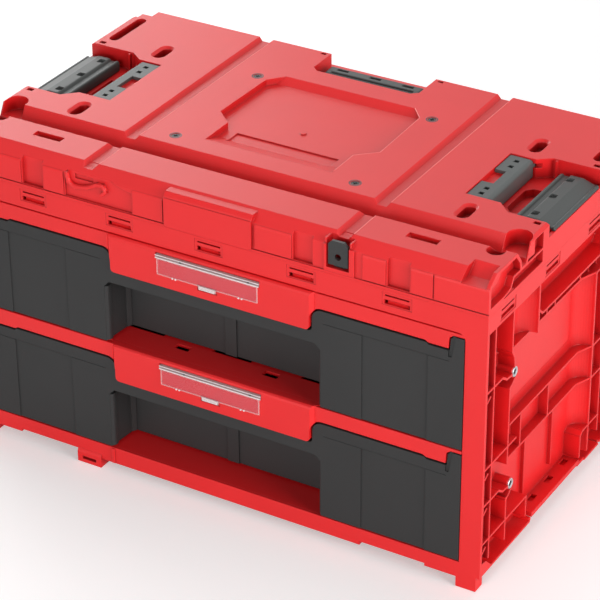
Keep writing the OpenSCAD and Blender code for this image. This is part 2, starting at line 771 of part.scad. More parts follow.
// Band in front of a shelf, over the drawer whose bottom edge is at height z
module label_band(z) {
    top = z + shelf_h;
    low = z + band_low_h;
    mid_x = notch_x - 1.5;
    back_y = band_side_y + wall;
    color(red) difference() {
        union() {
            along_x([-tab_x + 1, tab_x - 1]) polygon([
                [band_side_y, z + band_side_h], [band_side_y, top - 2], [band_side_y + 1.5, top],
                [back_y, top], [back_y, z + band_side_h]]);
            // proud band in the middle, with bevelled ends and a bevelled top
            intersection() {
                translate([0, 0, low]) linear_extrude(shelf_h - band_low_h) polygon([
                    [-notch_x - 6, back_y], [-notch_x - 6, band_side_y], [-notch_x + 1, band_face_y],
                    [notch_x - 1, band_face_y], [notch_x + 6, band_side_y], [notch_x + 6, back_y]]);
                along_x([-wing_x, wing_x]) polygon([
                    [band_face_y, low], [band_face_y, top - 3.5], [band_face_y + 1, top - 1.2],
                    [band_face_y + 3, top], [back_y, top], [back_y, low]]);
            }
        }
        // the band is a hollow moulding, open to the rear
        block([-notch_x + 3, notch_x - 3], [band_face_y + 6.5, back_y + 1], [low - 1, top - wall]);
        // its lower corners follow the wings' rounded shoulders
        both_sides() along_y([label_y - 1, band_side_y + 5]) polygon(concat(
            [[mid_x - 4, low - 1], [mid_x - 4, low]], arc([mid_x - 4, low + 4], 4, -90, 0, 4),
            arc([notch_x + 10, z + wing_h - 10], 11.5, 180, 90, 6),
            [[wing_x + 9, z + wing_h + 1.5], [wing_x + 9, low - 1]]));
        // knuckle groove and end holes of the label cover
        translate([-57.6, flap_axis_y, z + flap_h]) rotate([0, 90, 0]) cylinder(h = 115.2, d = 6.6);
        translate([-60.4, flap_axis_y, z + flap_h]) rotate([0, 90, 0]) cylinder(h = 120.8, d = 1.7);
        // finger notch under the label cover
        block([-11, 11], [band_face_y - 1, band_face_y + 1.2], [z + flap_h - 25.5, z + flap_h - 19]);
    }
}

module upper_label_band() {
    label_band(drawer_z + drawer_pitch);
}

module lower_label_band() {
    label_band(drawer_z);
}

module upper_shelf() {
    top = drawer_z + drawer_pitch + shelf_h;
    color(red) {
        label_shelf(drawer_z + drawer_pitch);
        // posts that the cover's screws go into
        for (x = [-cover_screw_x, cover_screw_x], y = cover_screw_ys) translate([x, y, top - eps])
            difference() {
                cylinder(h = post_top - top + eps, d = 10);
                translate([0, 0, 10]) cylinder(h = 60, d = 4.1);
            }
    }
}

module middle_shelf() {
    color(red) label_shelf(drawer_z);
}

// A clear label cover that swings up on its top edge
module label_cover(z) {
    axis_z = z + flap_h;
    color(clear) {
        block([-55, 55], [label_y, label_y + 1.2], [axis_z - 20.5, axis_z - 1.5]);
        block([-57, 57], [label_y, flap_axis_y], [axis_z - 1.6, axis_z + 0.8]);
        translate([-57, flap_axis_y, axis_z]) rotate([0, 90, 0]) cylinder(h = 114, d = 2.4);
        translate([-59.8, flap_axis_y, axis_z]) rotate([0, 90, 0]) cylinder(h = 119.6, d = 1.6);
        block([-10, 10], [label_y, label_y + 1.2], [axis_z - 24, axis_z - 20.5 + eps]);
    }
}

module upper_label_cover() {
    label_cover(drawer_z + drawer_pitch);
}

module lower_label_cover() {
    label_cover(drawer_z);
}

// ---------------------------------------------------------------- drawers

// Front of one wing, right-hand side, in the (x, z) plane
module wing_outline() {
    polygon(concat(
        [[wing_x, 0], [open_x - 0.6, 0], [open_x - 0.6, tab_h], [tab_x + 5, tab_h],
         [tab_x + 1, tab_h - 3], [tab_x, wing_h - 2], [234, wing_h - 2], [231, wing_h]],
        arc([notch_x + 10, wing_h - 10], 10, 90, 180, 6), arc([notch_x - 4, lip_h + 4], 4, 0, -90, 4),
        [[wing_x - 20, lip_h], [wing_x - 20, lip_low_h], [notch_x + 3, lip_low_h], [wing_x, lip_low_h - 6]]));
}

// Floor plan of the tray: two wings and the hand recess between them
module tray_plan(d) {
    face = wing_face_y + wall;
    polygon([
        [-tray_x + d, tray_rear_y - d], [-tray_x + d, face], [-wing_x - d, face],
        [-wing_x + 3 - d, recess_y + d], [wing_x - 3 + d, recess_y + d], [wing_x + d, face],
        [tray_x - d, face], [tray_x - d, tray_rear_y - d]]);
}

module drawer(z) {
    color(charcoal) translate([0, 0, z]) {
        difference() {
            linear_extrude(tray_h) tray_plan(0);
            translate([0, 0, tray_wall]) linear_extrude(tray_h) tray_plan(tray_wall);
            // the tray is cut down behind the label band
            block([-wing_x + 4, wing_x - 4], [front_y - 10, recess_y + 6], [lip_h, tray_h + 1]);
        }
        // pilaster in the middle of the recess
        block([-6.5, 6.5], [recess_y - 1.5, recess_y + 1], [0, lip_h - wall]);
        // bead along the tray's rim
        both_sides() block([tray_x - 4, tray_x], [-140, tray_rear_y], [tray_h - 2, tray_h]);
    }
}

// Front of a drawer: two wings, the lip over the hand recess and the end tabs
module drawer_front(z) {
    front = wing_face_y;
    back = wing_face_y + wall;
    color(charcoal) translate([0, 0, z]) difference() {
        union() {
            both_sides() {
                along_y([front, back]) intersection() {
                    wing_outline();
                    translate([wing_x - 20, 0]) square([open_x, tab_h]);
                }
                // flange behind the wing's upper edge
                block([notch_x + 8, 232], [front, front + 10], [wing_h - wall, wing_h]);
                block([231.9, tab_x], [front, front + 10], [wing_h - wall - 2, wing_h - 2]);
                // the end tab is thicker than the wing
                block([tab_x + 3, open_x - 0.6], [front, front + 7], [tab_h - 12, tab_h]);
            }
            block([20 - wing_x, wing_x - 20], [front, back], [lip_low_h, lip_h]);
            // top of the lip, reaching back to the recess's wall
            translate([0, 0, lip_h - wall]) linear_extrude(wall) polygon([
                [-wing_x, back - eps], [wing_x, back - eps], [wing_x - 3, recess_y], [3 - wing_x, recess_y]]);
        }
        both_sides() {
            // slightly sunken panel in the middle of the wing, and the line under its rim
            block([165, 233.5], [front - 1, front + 0.9], [-1, wing_h - 13.2]);
            block([wing_x + 3, tab_x], [front - 1, front + 0.4], [wing_h - 13.2, wing_h - 12.5]);
            // slanted facet on the tab
            along_y([front - 1, front + 1.2]) polygon([
                [tab_x - 1, tab_h - 22], [257.5, tab_h - 22], [261.5, tab_h + 1], [tab_x - 1, tab_h + 1]]);
        }
    }
}

module upper_drawer_front() {
    drawer_front(drawer_z + drawer_pitch);
}

module lower_drawer_front() {
    drawer_front(drawer_z);
}

module upper_drawer() {
    drawer(drawer_z + drawer_pitch);
}

module lower_drawer() {
    drawer(drawer_z);
}

// ---------------------------------------------------------------- slides

// A C-shaped rail on the right-hand side: web between x0 and x0 + t, lips towards the drawer
module c_rail(x0, t, height, reach, dir) {
    along_y([rail_front_y, rail_front_y + rail_length]) {
        translate([dir > 0 ? x0 : x0 - t, -height / 2]) square([t, height]);
        for (s = [-1, 1]) translate([dir > 0 ? x0 : x0 - reach, s * (height - t) / 2 - t / 2])
            square([reach, t]);
    }
}

// part: 0 outer rail on the housing, 1 middle rail, 2 inner rail on the drawer
module slide_rail(level, right, part) {
    z = drawer_z + rail_h + level * drawer_pitch;
    color(steel) mirror([right ? 0 : 1, 0, 0]) translate([0, 0, z]) difference() {
        union() {
            if (part == 0) c_rail(open_x, 1.4, 45, 9, -1);
            if (part == 1) c_rail(open_x - 1.9, 1.4, 40.5, 8, -1);
            if (part == 2) c_rail(tray_x, 1.4, 34.5, 7, 1);
        }
        if (part == 0) for (y = [-126, front_y + rear_y + 126])
            translate([open_x - 10, y, 0]) rotate([0, 90, 0]) cylinder(h = 20, d = 4.1);
    }
}

module upper_left_outer_rail() { slide_rail(1, false, 0); }
module upper_left_middle_rail() { slide_rail(1, false, 1); }
module upper_left_inner_rail() { slide_rail(1, false, 2); }
module upper_right_outer_rail() { slide_rail(1, true, 0); }
module upper_right_middle_rail() { slide_rail(1, true, 1); }
module upper_right_inner_rail() { slide_rail(1, true, 2); }
module lower_left_outer_rail() { slide_rail(0, false, 0); }
module lower_left_middle_rail() { slide_rail(0, false, 1); }
module lower_left_inner_rail() { slide_rail(0, false, 2); }
module lower_right_outer_rail() { slide_rail(0, true, 0); }
module lower_right_middle_rail() { slide_rail(0, true, 1); }
module lower_right_inner_rail() { slide_rail(0, true, 2); }

// Hexagon-socket screws that hold the outer rails through the bosses
module slide_screws() {
    head_x = side_x - 1.5;
    color(steel) slide_screw_places() difference() {
        union() {
            translate([0, 0, open_x - 1.3]) cylinder(h = head_x - open_x + 1.3, d = 4);
            translate([0, 0, head_x]) cylinder(h = 1.4, d = 10.5);
        }
        translate([0, 0, head_x + 0.4]) cylinder(h = 5, d = 5, $fn = 6);
    }
}

// ---------------------------------------------------------------- cover fittings

// Cross-head screws that hold the cover to the upper shelf
module cover_screws() {
    color(black_steel) for (y = cover_screw_ys) both_sides() translate([cover_screw_x, y, 0])
        difference() {
            union() {
                translate([0, 0, 295]) cylinder(h = case_h - 295 - 2, d = 4);
                translate([0, 0, case_h - 2.6]) cylinder(h = 2.2, d = 8.8);
            }
            for (a = [0, 90]) rotate([0, 0, a]) translate([-2.4, -0.6, case_h - 1.8]) cube([4.8, 1.2, 4]);
        }
}

// A latch plate of the right-hand side
module latch_plate() {
    color(grip_grey) difference() {
        union() {
            block(latch_x - [0, 4], latch_y, [335.6, 339]);
            along_y(latch_y) polygon(concat(
                [[latch_x[1] - 3, 321], [latch_x[1], 321]],
                arc([latch_x[1] - 4, 335], 4, 0, 90), [[latch_x[1] - 5, 335.6], [latch_x[1] - 3, 334]]));
            // end tongues and the lug that the springs push on
            block(latch_x, [latch_y[0] - 4.5, latch_y[0] + 1], [331, 334.6]);
            block(latch_x, [latch_y[1] - 1, latch_y[1] + 4.5], [331, 334.6]);
            for (y = [latch_y[0], latch_y[1] - 2]) block(latch_x, [y, y + 2], [331, 336]);
            for (y = spring_ys) block([latch_x[0] + 1, latch_x[0] + 3], [y - 8, y + 8], [321, 336]);
        }
        block([latch_x[0] - 1, 212], [-20.5, 7], [330, 340]);
        for (y = [-43, -32, 18.5, 31]) block([208.5, 213.5], [y - 2.4, y + 2.4], [335, 340]);
    }
}

module right_latch() {
    latch_plate();
}

module left_latch() {
    mirror([1, 0, 0]) latch_plate();
}

// Return springs of a latch plate, between its lugs and the posts in the well
module latch_springs() {
    color(steel) for (y = spring_ys) translate([latch_x[0] + 3.1, y, 326])
        coil_spring(14.3, 2.6, 0.9, 6);
}

module right_latch_springs() {
    latch_springs();
}

module left_latch_springs() {
    mirror([1, 0, 0]) latch_springs();
}

// Hand grip over the red bar beside the well
module side_grip() {
    color(grip_grey) difference() {
        along_y(grip_y) polygon([
            [grip_x[0], 321], [grip_x[0], 331.5], [grip_x[0] + 1, 332], [257.5, 332], [258.5, 330.6],
            [261.5, 330.6], [262.5, grip_z], [276, grip_z], [grip_x[1] - 1, 329], [grip_x[1], 328],
            [grip_x[1], 325.2], [grip_x[1] - 2.8, 325.2], [grip_x[1] - 2.8, 326.4], [276, bar_z],
            [grip_x[0] + 3, bar_z], [grip_x[0] + 3, 321]]);
        for (y = [-43, -5, 32]) block([264, 269.5], [y - 2.7, y + 2.7], [330.6, grip_z + 1]);
    }
}

module right_grip() {
    side_grip();
}

module left_grip() {
    mirror([1, 0, 0]) side_grip();
}

module rear_grip() {
    color(grip_grey) difference() {
        along_x([-54, 54]) polygon([
            [116, 321], [116, 331], [118, grip_z], [138, grip_z], [140, 331], [140, 321], [137, 321],
            [137, 329.8], [119, 329.8], [119, 321]]);
        for (x = [-38, 0, 38]) block([x - 6, x + 6], [133.2, 136], [331, grip_z + 1]);
        block([-47, 47], [120.5, 124], [330.8, grip_z + 1]);
    }
}

// Padlock tab: lifted, it shows its hole above the front edge and locks the drawers
module lock_slider() {
    tab_y = [front_y + 0.5, front_y + 3.5];
    color(black_steel) {
        along_y(tab_y) difference() {
            polygon([
                [lock_x - lock_w / 2, lock_z[0]], [lock_x + lock_w / 2, lock_z[0]],
                [lock_x + lock_w / 2, lock_z[1] - 4], [lock_x + lock_w / 2 - 4, lock_z[1]],
                [lock_x - lock_w / 2 + 4, lock_z[1]], [lock_x - lock_w / 2, lock_z[1] - 4]]);
            translate([lock_x, 320]) circle(d = 6.5);
        }
        // stem that runs down through its guide
        block([lock_x - 6, lock_x + 6], [front_y + 3.4, front_y + 9], [lock_z[0], lock_z[0] + 4]);
        block([lock_x - 6, lock_x + 6], [front_y + 4, front_y + 9], [284, lock_z[0] + 1]);
    }
}

housing();
front_frame();
left_side_panel();
right_side_panel();
rear_panel();
top_cover();
upper_shelf();
middle_shelf();
upper_label_band();
lower_label_band();
upper_drawer();
upper_drawer_front();
lower_drawer();
lower_drawer_front();
upper_left_outer_rail();
upper_left_middle_rail();
upper_left_inner_rail();
upper_right_outer_rail();
upper_right_middle_rail();
upper_right_inner_rail();
lower_left_outer_rail();
lower_left_middle_rail();
lower_left_inner_rail();
lower_right_outer_rail();
lower_right_middle_rail();
lower_right_inner_rail();
slide_screws();
cover_screws();
upper_label_cover();
lower_label_cover();
left_latch();
right_latch();
left_latch_springs();
right_latch_springs();
left_grip();
right_grip();
rear_grip();
lock_slider();
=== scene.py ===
"""A moulded tool box with two drawers, dressed for a studio picture.

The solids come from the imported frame. This script gives them their finishes, adds the fine pieces
that the solids leave out, and sets the camera, the lamps and the floor.
"""

import logging
import math
from dataclasses import dataclass
from enum import Enum

import bmesh
import bpy
import numpy as np
from mathutils import Matrix, Vector

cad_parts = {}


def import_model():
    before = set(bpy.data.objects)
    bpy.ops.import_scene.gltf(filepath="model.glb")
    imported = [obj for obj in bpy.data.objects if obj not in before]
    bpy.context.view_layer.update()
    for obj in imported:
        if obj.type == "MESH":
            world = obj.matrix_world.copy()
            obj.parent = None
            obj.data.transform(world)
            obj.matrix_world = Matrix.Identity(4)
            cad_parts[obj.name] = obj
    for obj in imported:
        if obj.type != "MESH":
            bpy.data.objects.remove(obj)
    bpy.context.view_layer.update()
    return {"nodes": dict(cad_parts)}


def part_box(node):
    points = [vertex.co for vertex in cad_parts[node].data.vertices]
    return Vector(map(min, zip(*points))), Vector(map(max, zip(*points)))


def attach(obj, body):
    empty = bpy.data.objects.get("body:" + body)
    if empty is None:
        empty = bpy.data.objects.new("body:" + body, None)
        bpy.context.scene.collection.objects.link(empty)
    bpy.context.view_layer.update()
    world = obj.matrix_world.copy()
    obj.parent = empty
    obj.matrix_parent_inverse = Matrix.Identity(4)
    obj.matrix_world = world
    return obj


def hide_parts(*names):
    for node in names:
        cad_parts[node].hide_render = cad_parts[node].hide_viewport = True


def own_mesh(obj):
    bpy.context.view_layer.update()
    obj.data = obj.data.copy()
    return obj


LOG = logging.getLogger("tool_box")
RGB = tuple[float, float, float]
SIDES = (-1.0, 1.0)
SMOOTH_BELOW = 35.0


def srgb(red: int, green: int, blue: int) -> RGB:
    """Linear colour of an eight-bit colour: each channel c becomes ((c + 0.055) / 1.055) to the power 2.4.

    Args:
        red: red channel from 0 to 255.
        green: green channel from 0 to 255.
        blue: blue channel from 0 to 255.

    Returns:
        The three linear channels from 0 to 1.
    """
    values = np.array([red, green, blue]) / 255.0
    linear = np.where(values <= 0.04045, values / 12.92, ((values + 0.055) / 1.055) ** 2.4)
    return tuple(float(v) for v in linear)


# ---------------------------------------------------------------- finishes


class Grain(Enum):
    """How strongly a moulded skin is textured: (noise scale per metre, bump height in metres)."""

    FINE = (1400.0, 0.00003)
    SATIN = (1900.0, 0.000018)
    COARSE = (900.0, 0.00005)


@dataclass(frozen=True)
class Finish:
    """A named finish. Subclasses fill in the shader."""

    name: str
    colour: RGB
    roughness: float

    def material(self) -> bpy.types.Material:
        """The finish as a material, made once."""
        found = bpy.data.materials.get(self.name)
        if found is None:
            found = bpy.data.materials.new(self.name)
            found.use_nodes = True
            found.diffuse_color = (*self.colour, 1.0)
            self.wire(found.node_tree, found.node_tree.nodes["Principled BSDF"])
        return found

    def wire(self, tree: bpy.types.NodeTree, shader: bpy.types.ShaderNode) -> None:
        """Sets the plain values of the shader."""
        shader.inputs["Base Color"].default_value = (*self.colour, 1.0)
        shader.inputs["Roughness"].default_value = self.roughness

    def noise(self, tree: bpy.types.NodeTree, scale: float, detail: float,
              rough: float) -> bpy.types.ShaderNode:
        """A noise texture on the piece's own metres.

        Args:
            tree: the material's nodes.
            scale: noise cells per metre.
            detail: number of octaves.
            rough: strength of the finer octaves.

        Returns:
            The noise node.
        """
        place = tree.nodes.new("ShaderNodeTexCoord")
        node = tree.nodes.new("ShaderNodeTexNoise")
        node.inputs["Scale"].default_value = scale
        node.inputs["Detail"].default_value = detail
        node.inputs["Roughness"].default_value = rough
        tree.links.new(place.outputs["Object"], node.inputs["Vector"])
        return node

    def ramp(self, tree: bpy.types.NodeTree, source: bpy.types.NodeSocket, low: RGB, high: RGB,
             span: tuple[float, float]) -> bpy.types.NodeSocket:
        """Turns a grey value into a colour between two tones.

        Args:
            tree: the material's nodes.
            source: the grey value.
            low: colour at the start of the span.
            high: colour at its end.
            span: the two grey values that stand for low and high.

        Returns:
            The colour socket.
        """
        node = tree.nodes.new("ShaderNodeValToRGB")
        node.color_ramp.elements[0].position = span[0]
        node.color_ramp.elements[0].color = (*low, 1.0)
        node.color_ramp.elements[1].position = span[1]
        node.color_ramp.elements[1].color = (*high, 1.0)
        tree.links.new(source, node.inputs["Fac"])
        return node.outputs["Color"]


@dataclass(frozen=True)
class MouldedPlastic(Finish):
    """Injection-moulded plastic: an eroded fine grain, cloudy tone, softly rounded edges, and, where asked
    for, painted shade in its crevices.
    """

    grain: Grain = Grain.FINE
    tone: float = 0.04
    edge: float = 0.0006
    specular: float = 0.45
    # strength and reach of the shade painted into crevices by an occlusion node
    painted_shade: float = 0.0
    painted_shade_reach: float = 0.010

    def wire(self, tree: bpy.types.NodeTree, shader: bpy.types.ShaderNode) -> None:
        """Grain feeds bump and roughness, clouds feed the colour, rounded edges the normal; painted shade
        darkens the colour in crevices.
        """
        super().wire(tree, shader)
        shader.inputs["Specular IOR Level"].default_value = self.specular
        clouds = self.noise(tree, 9.0, 3.0, 0.55)
        low = tuple(c * (1.0 - self.tone) for c in self.colour)
        high = tuple(min(1.0, c * (1.0 + self.tone)) for c in self.colour)
        tone = self.ramp(tree, clouds.outputs["Fac"], low, high, (0.35, 0.65))
        tree.links.new(self.painted_crevice_shade(tree, tone) if self.painted_shade else tone, shader.inputs["Base Color"])
        scale, height = self.grain.value
        skin = self.noise(tree, scale, 2.0, 0.6)
        spread = tree.nodes.new("ShaderNodeMapRange")
        spread.inputs["To Min"].default_value = self.roughness - 0.05
        spread.inputs["To Max"].default_value = self.roughness + 0.05
        tree.links.new(skin.outputs["Fac"], spread.inputs["Value"])
        tree.links.new(spread.outputs["Result"], shader.inputs["Roughness"])
        rounded = tree.nodes.new("ShaderNodeBevel")
        rounded.samples = 4
        rounded.inputs["Radius"].default_value = self.edge
        bump = tree.nodes.new("ShaderNodeBump")
        bump.inputs["Strength"].default_value = 0.6
        bump.inputs["Distance"].default_value = height
        tree.links.new(skin.outputs["Fac"], bump.inputs["Height"])
        tree.links.new(rounded.outputs["Normal"], bump.inputs["Normal"])
        tree.links.new(bump.outputs["Normal"], shader.inputs["Normal"])

    def painted_crevice_shade(self, tree: bpy.types.NodeTree, tone: bpy.types.NodeSocket) -> bpy.types.NodeSocket:
        """Paints shade into the colour where walls stand close: colour times (1 - shade strength * (1 -
        openness)).

        Args:
            tree: the material's nodes.
            tone: the colour in the open.

        Returns:
            The colour with painted shade in its crevices.
        """
        open_sky = tree.nodes.new("ShaderNodeAmbientOcclusion")
        open_sky.samples = 6
        open_sky.only_local = True
        open_sky.inputs["Distance"].default_value = self.painted_shade_reach
        keep = tree.nodes.new("ShaderNodeMapRange")
        keep.inputs["To Min"].default_value = 1.0 - self.painted_shade
        keep.inputs["To Max"].default_value = 1.0
        deepen = tree.nodes.new("ShaderNodeVectorMath")
        deepen.operation = "SCALE"
        tree.links.new(open_sky.outputs["AO"], keep.inputs["Value"])
        tree.links.new(tone, deepen.inputs[0])
        tree.links.new(keep.outputs["Result"], deepen.inputs["Scale"])
        return deepen.outputs["Vector"]


@dataclass(frozen=True)
class RolledSteel(Finish):
    """Plated sheet or wire: fine lines along one axis, slightly blotchy gloss."""

    along: tuple[float, float, float] = (1.0, 0.03, 1.0)

    def wire(self, tree: bpy.types.NodeTree, shader: bpy.types.ShaderNode) -> None:
        """Stretched noise gives the drawn lines in the bump and the roughness."""
        super().wire(tree, shader)
        shader.inputs["Metallic"].default_value = 1.0
        place = tree.nodes.new("ShaderNodeTexCoord")
        stretch = tree.nodes.new("ShaderNodeMapping")
        stretch.inputs["Scale"].default_value = self.along
        lines = tree.nodes.new("ShaderNodeTexNoise")
        lines.inputs["Scale"].default_value = 1600.0
        lines.inputs["Detail"].default_value = 3.0
        tree.links.new(place.outputs["Object"], stretch.inputs["Vector"])
        tree.links.new(stretch.outputs["Vector"], lines.inputs["Vector"])
        spread = tree.nodes.new("ShaderNodeMapRange")
        spread.inputs["To Min"].default_value = self.roughness - 0.08
        spread.inputs["To Max"].default_value = self.roughness + 0.12
        tree.links.new(lines.outputs["Fac"], spread.inputs["Value"])
        tree.links.new(spread.outputs["Result"], shader.inputs["Roughness"])
        bump = tree.nodes.new("ShaderNodeBump")
        bump.inputs["Strength"].default_value = 0.25
        bump.inputs["Distance"].default_value = 0.00002
        tree.links.new(lines.outputs["Fac"], bump.inputs["Height"])
        tree.links.new(bump.outputs["Normal"], shader.inputs["Normal"])


@dataclass(frozen=True)
class ClearPlastic(Finish):
    """Clear sheet seen through: a thin whitish veil over what lies behind, glossy, faintly hazy."""

    veil: float = 0.12

    def wire(self, tree: bpy.types.NodeTree, shader: bpy.types.ShaderNode) -> None:
        """The veil is the alpha; a faint noise roughens the gloss."""
        super().wire(tree, shader)
        shader.inputs["Alpha"].default_value = self.veil
        haze = self.noise(tree, 60.0, 3.0, 0.5)
        spread = tree.nodes.new("ShaderNodeMapRange")
        spread.inputs["To Min"].default_value = self.roughness * 0.6
        spread.inputs["To Max"].default_value = self.roughness * 1.6
        tree.links.new(haze.outputs["Fac"], spread.inputs["Value"])
        tree.links.new(spread.outputs["Result"], shader.inputs["Roughness"])


# The last two numbers of the red, charcoal, grip, latch and screw finishes set how much shade is painted
# into their crevices and how far it reaches.
CASE_RED = MouldedPlastic("case_red", srgb(232, 30, 33), 0.40, tone=0.025, edge=0.0010, specular=0.5,
                          painted_shade=0.72, painted_shade_reach=0.016)
TRAY_CHARCOAL = MouldedPlastic("tray_charcoal", srgb(48, 48, 48), 0.55, tone=0.05, edge=0.0010,
                               specular=0.3, painted_shade=0.75, painted_shade_reach=0.010)
GRIP_GREY = MouldedPlastic("grip_grey", srgb(62, 65, 64), 0.42, grain=Grain.COARSE, tone=0.05,
                           specular=0.4, painted_shade=0.85, painted_shade_reach=0.004)
LATCH_GREY = MouldedPlastic("latch_grey", srgb(84, 88, 87), 0.4, grain=Grain.SATIN, tone=0.05,
                            specular=0.35, painted_shade=0.8, painted_shade_reach=0.005)
# a pale red that paints a highlight along convex edges
EDGE_HIGHLIGHT = MouldedPlastic("painted_edge_highlight", srgb(255, 118, 114), 0.32, grain=Grain.SATIN, tone=0.06,
                           edge=0.0003, specular=0.6)
ZINC = RolledSteel("zinc_steel", srgb(196, 198, 202), 0.3)
SPRING = RolledSteel("spring_steel", srgb(170, 172, 176), 0.28)
BLACK_STEEL = MouldedPlastic("black_steel", srgb(38, 38, 39), 0.4, grain=Grain.SATIN, tone=0.03,
                             edge=0.0003)
SCREW_STEEL = MouldedPlastic("screw_steel", srgb(66, 68, 63), 0.4, grain=Grain.SATIN, tone=0.06,
                             edge=0.0002, painted_shade=0.95, painted_shade_reach=0.0016)
CLEAR_PANE = ClearPlastic("clear_pane", (0.44, 0.38, 0.46), 0.10, veil=0.09)
CLEAR_RIM = ClearPlastic("clear_rim", (0.86, 0.70, 0.70), 0.15, veil=0.26)
CLEAR_BAR = ClearPlastic("clear_bar", (0.90, 0.76, 0.76), 0.15, veil=0.34)
CLEAR_EDGE = ClearPlastic("clear_edge", (0.97, 0.95, 0.95), 0.12, veil=0.85)


def dress(node: bpy.types.Object, finish: Finish) -> None:
    """Gives one finish to every material slot of a piece."""
    if not node.material_slots:
        node.data.materials.append(finish.material())
    for place in node.material_slots:
        place.material = finish.material()


# ---------------------------------------------------------------- mesh helpers


@dataclass(frozen=True)
class Skin:
    """A surface: its points, its four-sided faces and the faces that close its ends."""

    points: np.ndarray
    quads: np.ndarray
    caps: tuple[np.ndarray, ...]


def full_turn(count: int) -> np.ndarray:
    """Evenly spaced angles once round, in radians."""
    return np.radians(np.linspace(0.0, 360.0, count, endpoint=False))


def rounded_outline(half_width: float, low: float, high: float, radius: float,
                    per_corner: int = 6) -> np.ndarray:
    """Corner points of a rectangle in the (x, z) plane, each corner replaced by a quarter circle.

    Args:
        half_width: half the width along X.
        low: lower edge.
        high: upper edge.
        radius: corner radius.
        per_corner: points on each quarter circle.

    Returns:
        An array of (4 * per_corner, 2) points, counter-clockwise seen from the front.
    """
    centres = np.array([[half_width - radius, low + radius], [half_width - radius, high - radius],
                        [radius - half_width, high - radius], [radius - half_width, low + radius]])
    turn = np.radians(np.linspace(-90.0, 0.0, per_corner)[None, :] + 90.0 * np.arange(4)[:, None])
    return (centres[:, None, :] + radius * np.stack([np.cos(turn), np.sin(turn)], axis=2)).reshape(-1, 2)


def loft(rings: np.ndarray, cap_first: bool = True, cap_last: bool = True) -> Skin:
    """Skin over a row of closed rings.

    Args:
        rings: array of (rings, points, 3).
        cap_first: whether the first ring is closed with a face.
        cap_last: whether the last one is.

    Returns:
        Its skin.
    """
    count, size = rings.shape[:2]
    start = (np.arange(count - 1)[:, None] * size + np.arange(size)[None, :]).ravel()
    step = (np.arange(count - 1)[:, None] * size + (np.arange(size)[None, :] + 1) % size).ravel()
    caps = []
    if cap_first:
        caps.append(np.arange(size - 1, -1, -1))
    if cap_last:
        caps.append(np.arange((count - 1) * size, count * size))
    quads = np.stack([start, step, step + size, start + size], axis=1)
    return Skin(rings.reshape(-1, 3), quads, tuple(caps))


def carried(outline: np.ndarray, places: tuple[float, ...] | np.ndarray, side: float = 1.0) -> Skin:
    """An (x, z) outline carried along Y: the points are (side * x, y, z) for each y.

    Args:
        outline: its corner points.
        places: the y of each copy.
        side: 1 for the right, -1 for its mirror image on the left.

    Returns:
        Its skin.
    """
    return loft(np.stack([np.stack([side * outline[:, 0], np.full(len(outline), y), outline[:, 1]], axis=1)
                          for y in places]))


def window(values: np.ndarray, low: float, high: float, soft: float) -> np.ndarray:
    """A flat-topped bump: min(1, (v - low) / soft) times min(1, (high - v) / soft), never below zero.

    Args:
        values: where it is asked for.
        low: where it starts to rise.
        high: where it is back at zero.
        soft: length of each slope.

    Returns:
        The bump's height at each value, from 0 to 1.
    """
    return np.clip((values - low) / soft, 0.0, 1.0) * np.clip((high - values) / soft, 0.0, 1.0)


def tube(path: np.ndarray, radius: float, normal: tuple[float, float, float] = (0.0, 1.0, 0.0),
         sides: int = 14, rounding: int = 3) -> Skin:
    """A round bar along a path that lies in a plane.

    Each round of corner cutting puts a point at a quarter and at three quarters of each leg. A ring is
    centre + radius * (a cos t + n sin t), where n is the plane's normal and a is the cross product of n
    and the path's direction.

    Args:
        path: corner points (n, 3).
        radius: radius of the bar.
        normal: normal of the plane that the path lies in.
        sides: points on each ring.
        rounding: rounds of corner cutting.

    Returns:
        Its skin.
    """
    for _ in range(rounding):
        cut = np.stack([0.75 * path[:-1] + 0.25 * path[1:], 0.25 * path[:-1] + 0.75 * path[1:]], axis=1)
        path = np.concatenate([path[:1], cut.reshape(-1, 3), path[-1:]])
    along = np.gradient(path, axis=0)
    along /= np.linalg.norm(along, axis=1, keepdims=True)
    across = np.cross(np.array(normal), along)
    turn = full_turn(sides)
    rings = (path[:, None, :] + radius * across[:, None, :] * np.cos(turn)[None, :, None]
             + radius * np.array(normal) * np.sin(turn)[None, :, None])
    return loft(rings)


def dish(centre: tuple[float, float], half: tuple[float, float], top: float, floor: float,
         wall: float = 0.0012, corner: float = 0.0012) -> Skin:
    """An open tray with rounded corners: rounded rectangles from outside, over the rim, to the floor.

    Args:
        centre: middle in x and y.
        half: half the inner length and width.
        top: height of its rim.
        floor: height of its inner floor.
        wall: thickness of wall and floor.
        corner: inner corner radius.

    Returns:
        Its skin.
    """
    def ring(grow: float, z: float) -> np.ndarray:
        """The inner outline grown by so much, at height z."""
        flat = rounded_outline(half[0] + grow, -half[1] - grow, half[1] + grow, corner + grow)
        return np.stack([centre[0] + flat[:, 0], centre[1] + flat[:, 1], np.full(len(flat), z)], axis=1)

    draft = min(0.0006, half[1] / 4)
    return loft(np.stack([ring(wall, floor - wall), ring(wall, top), ring(0.0, top), ring(-draft, floor)]))


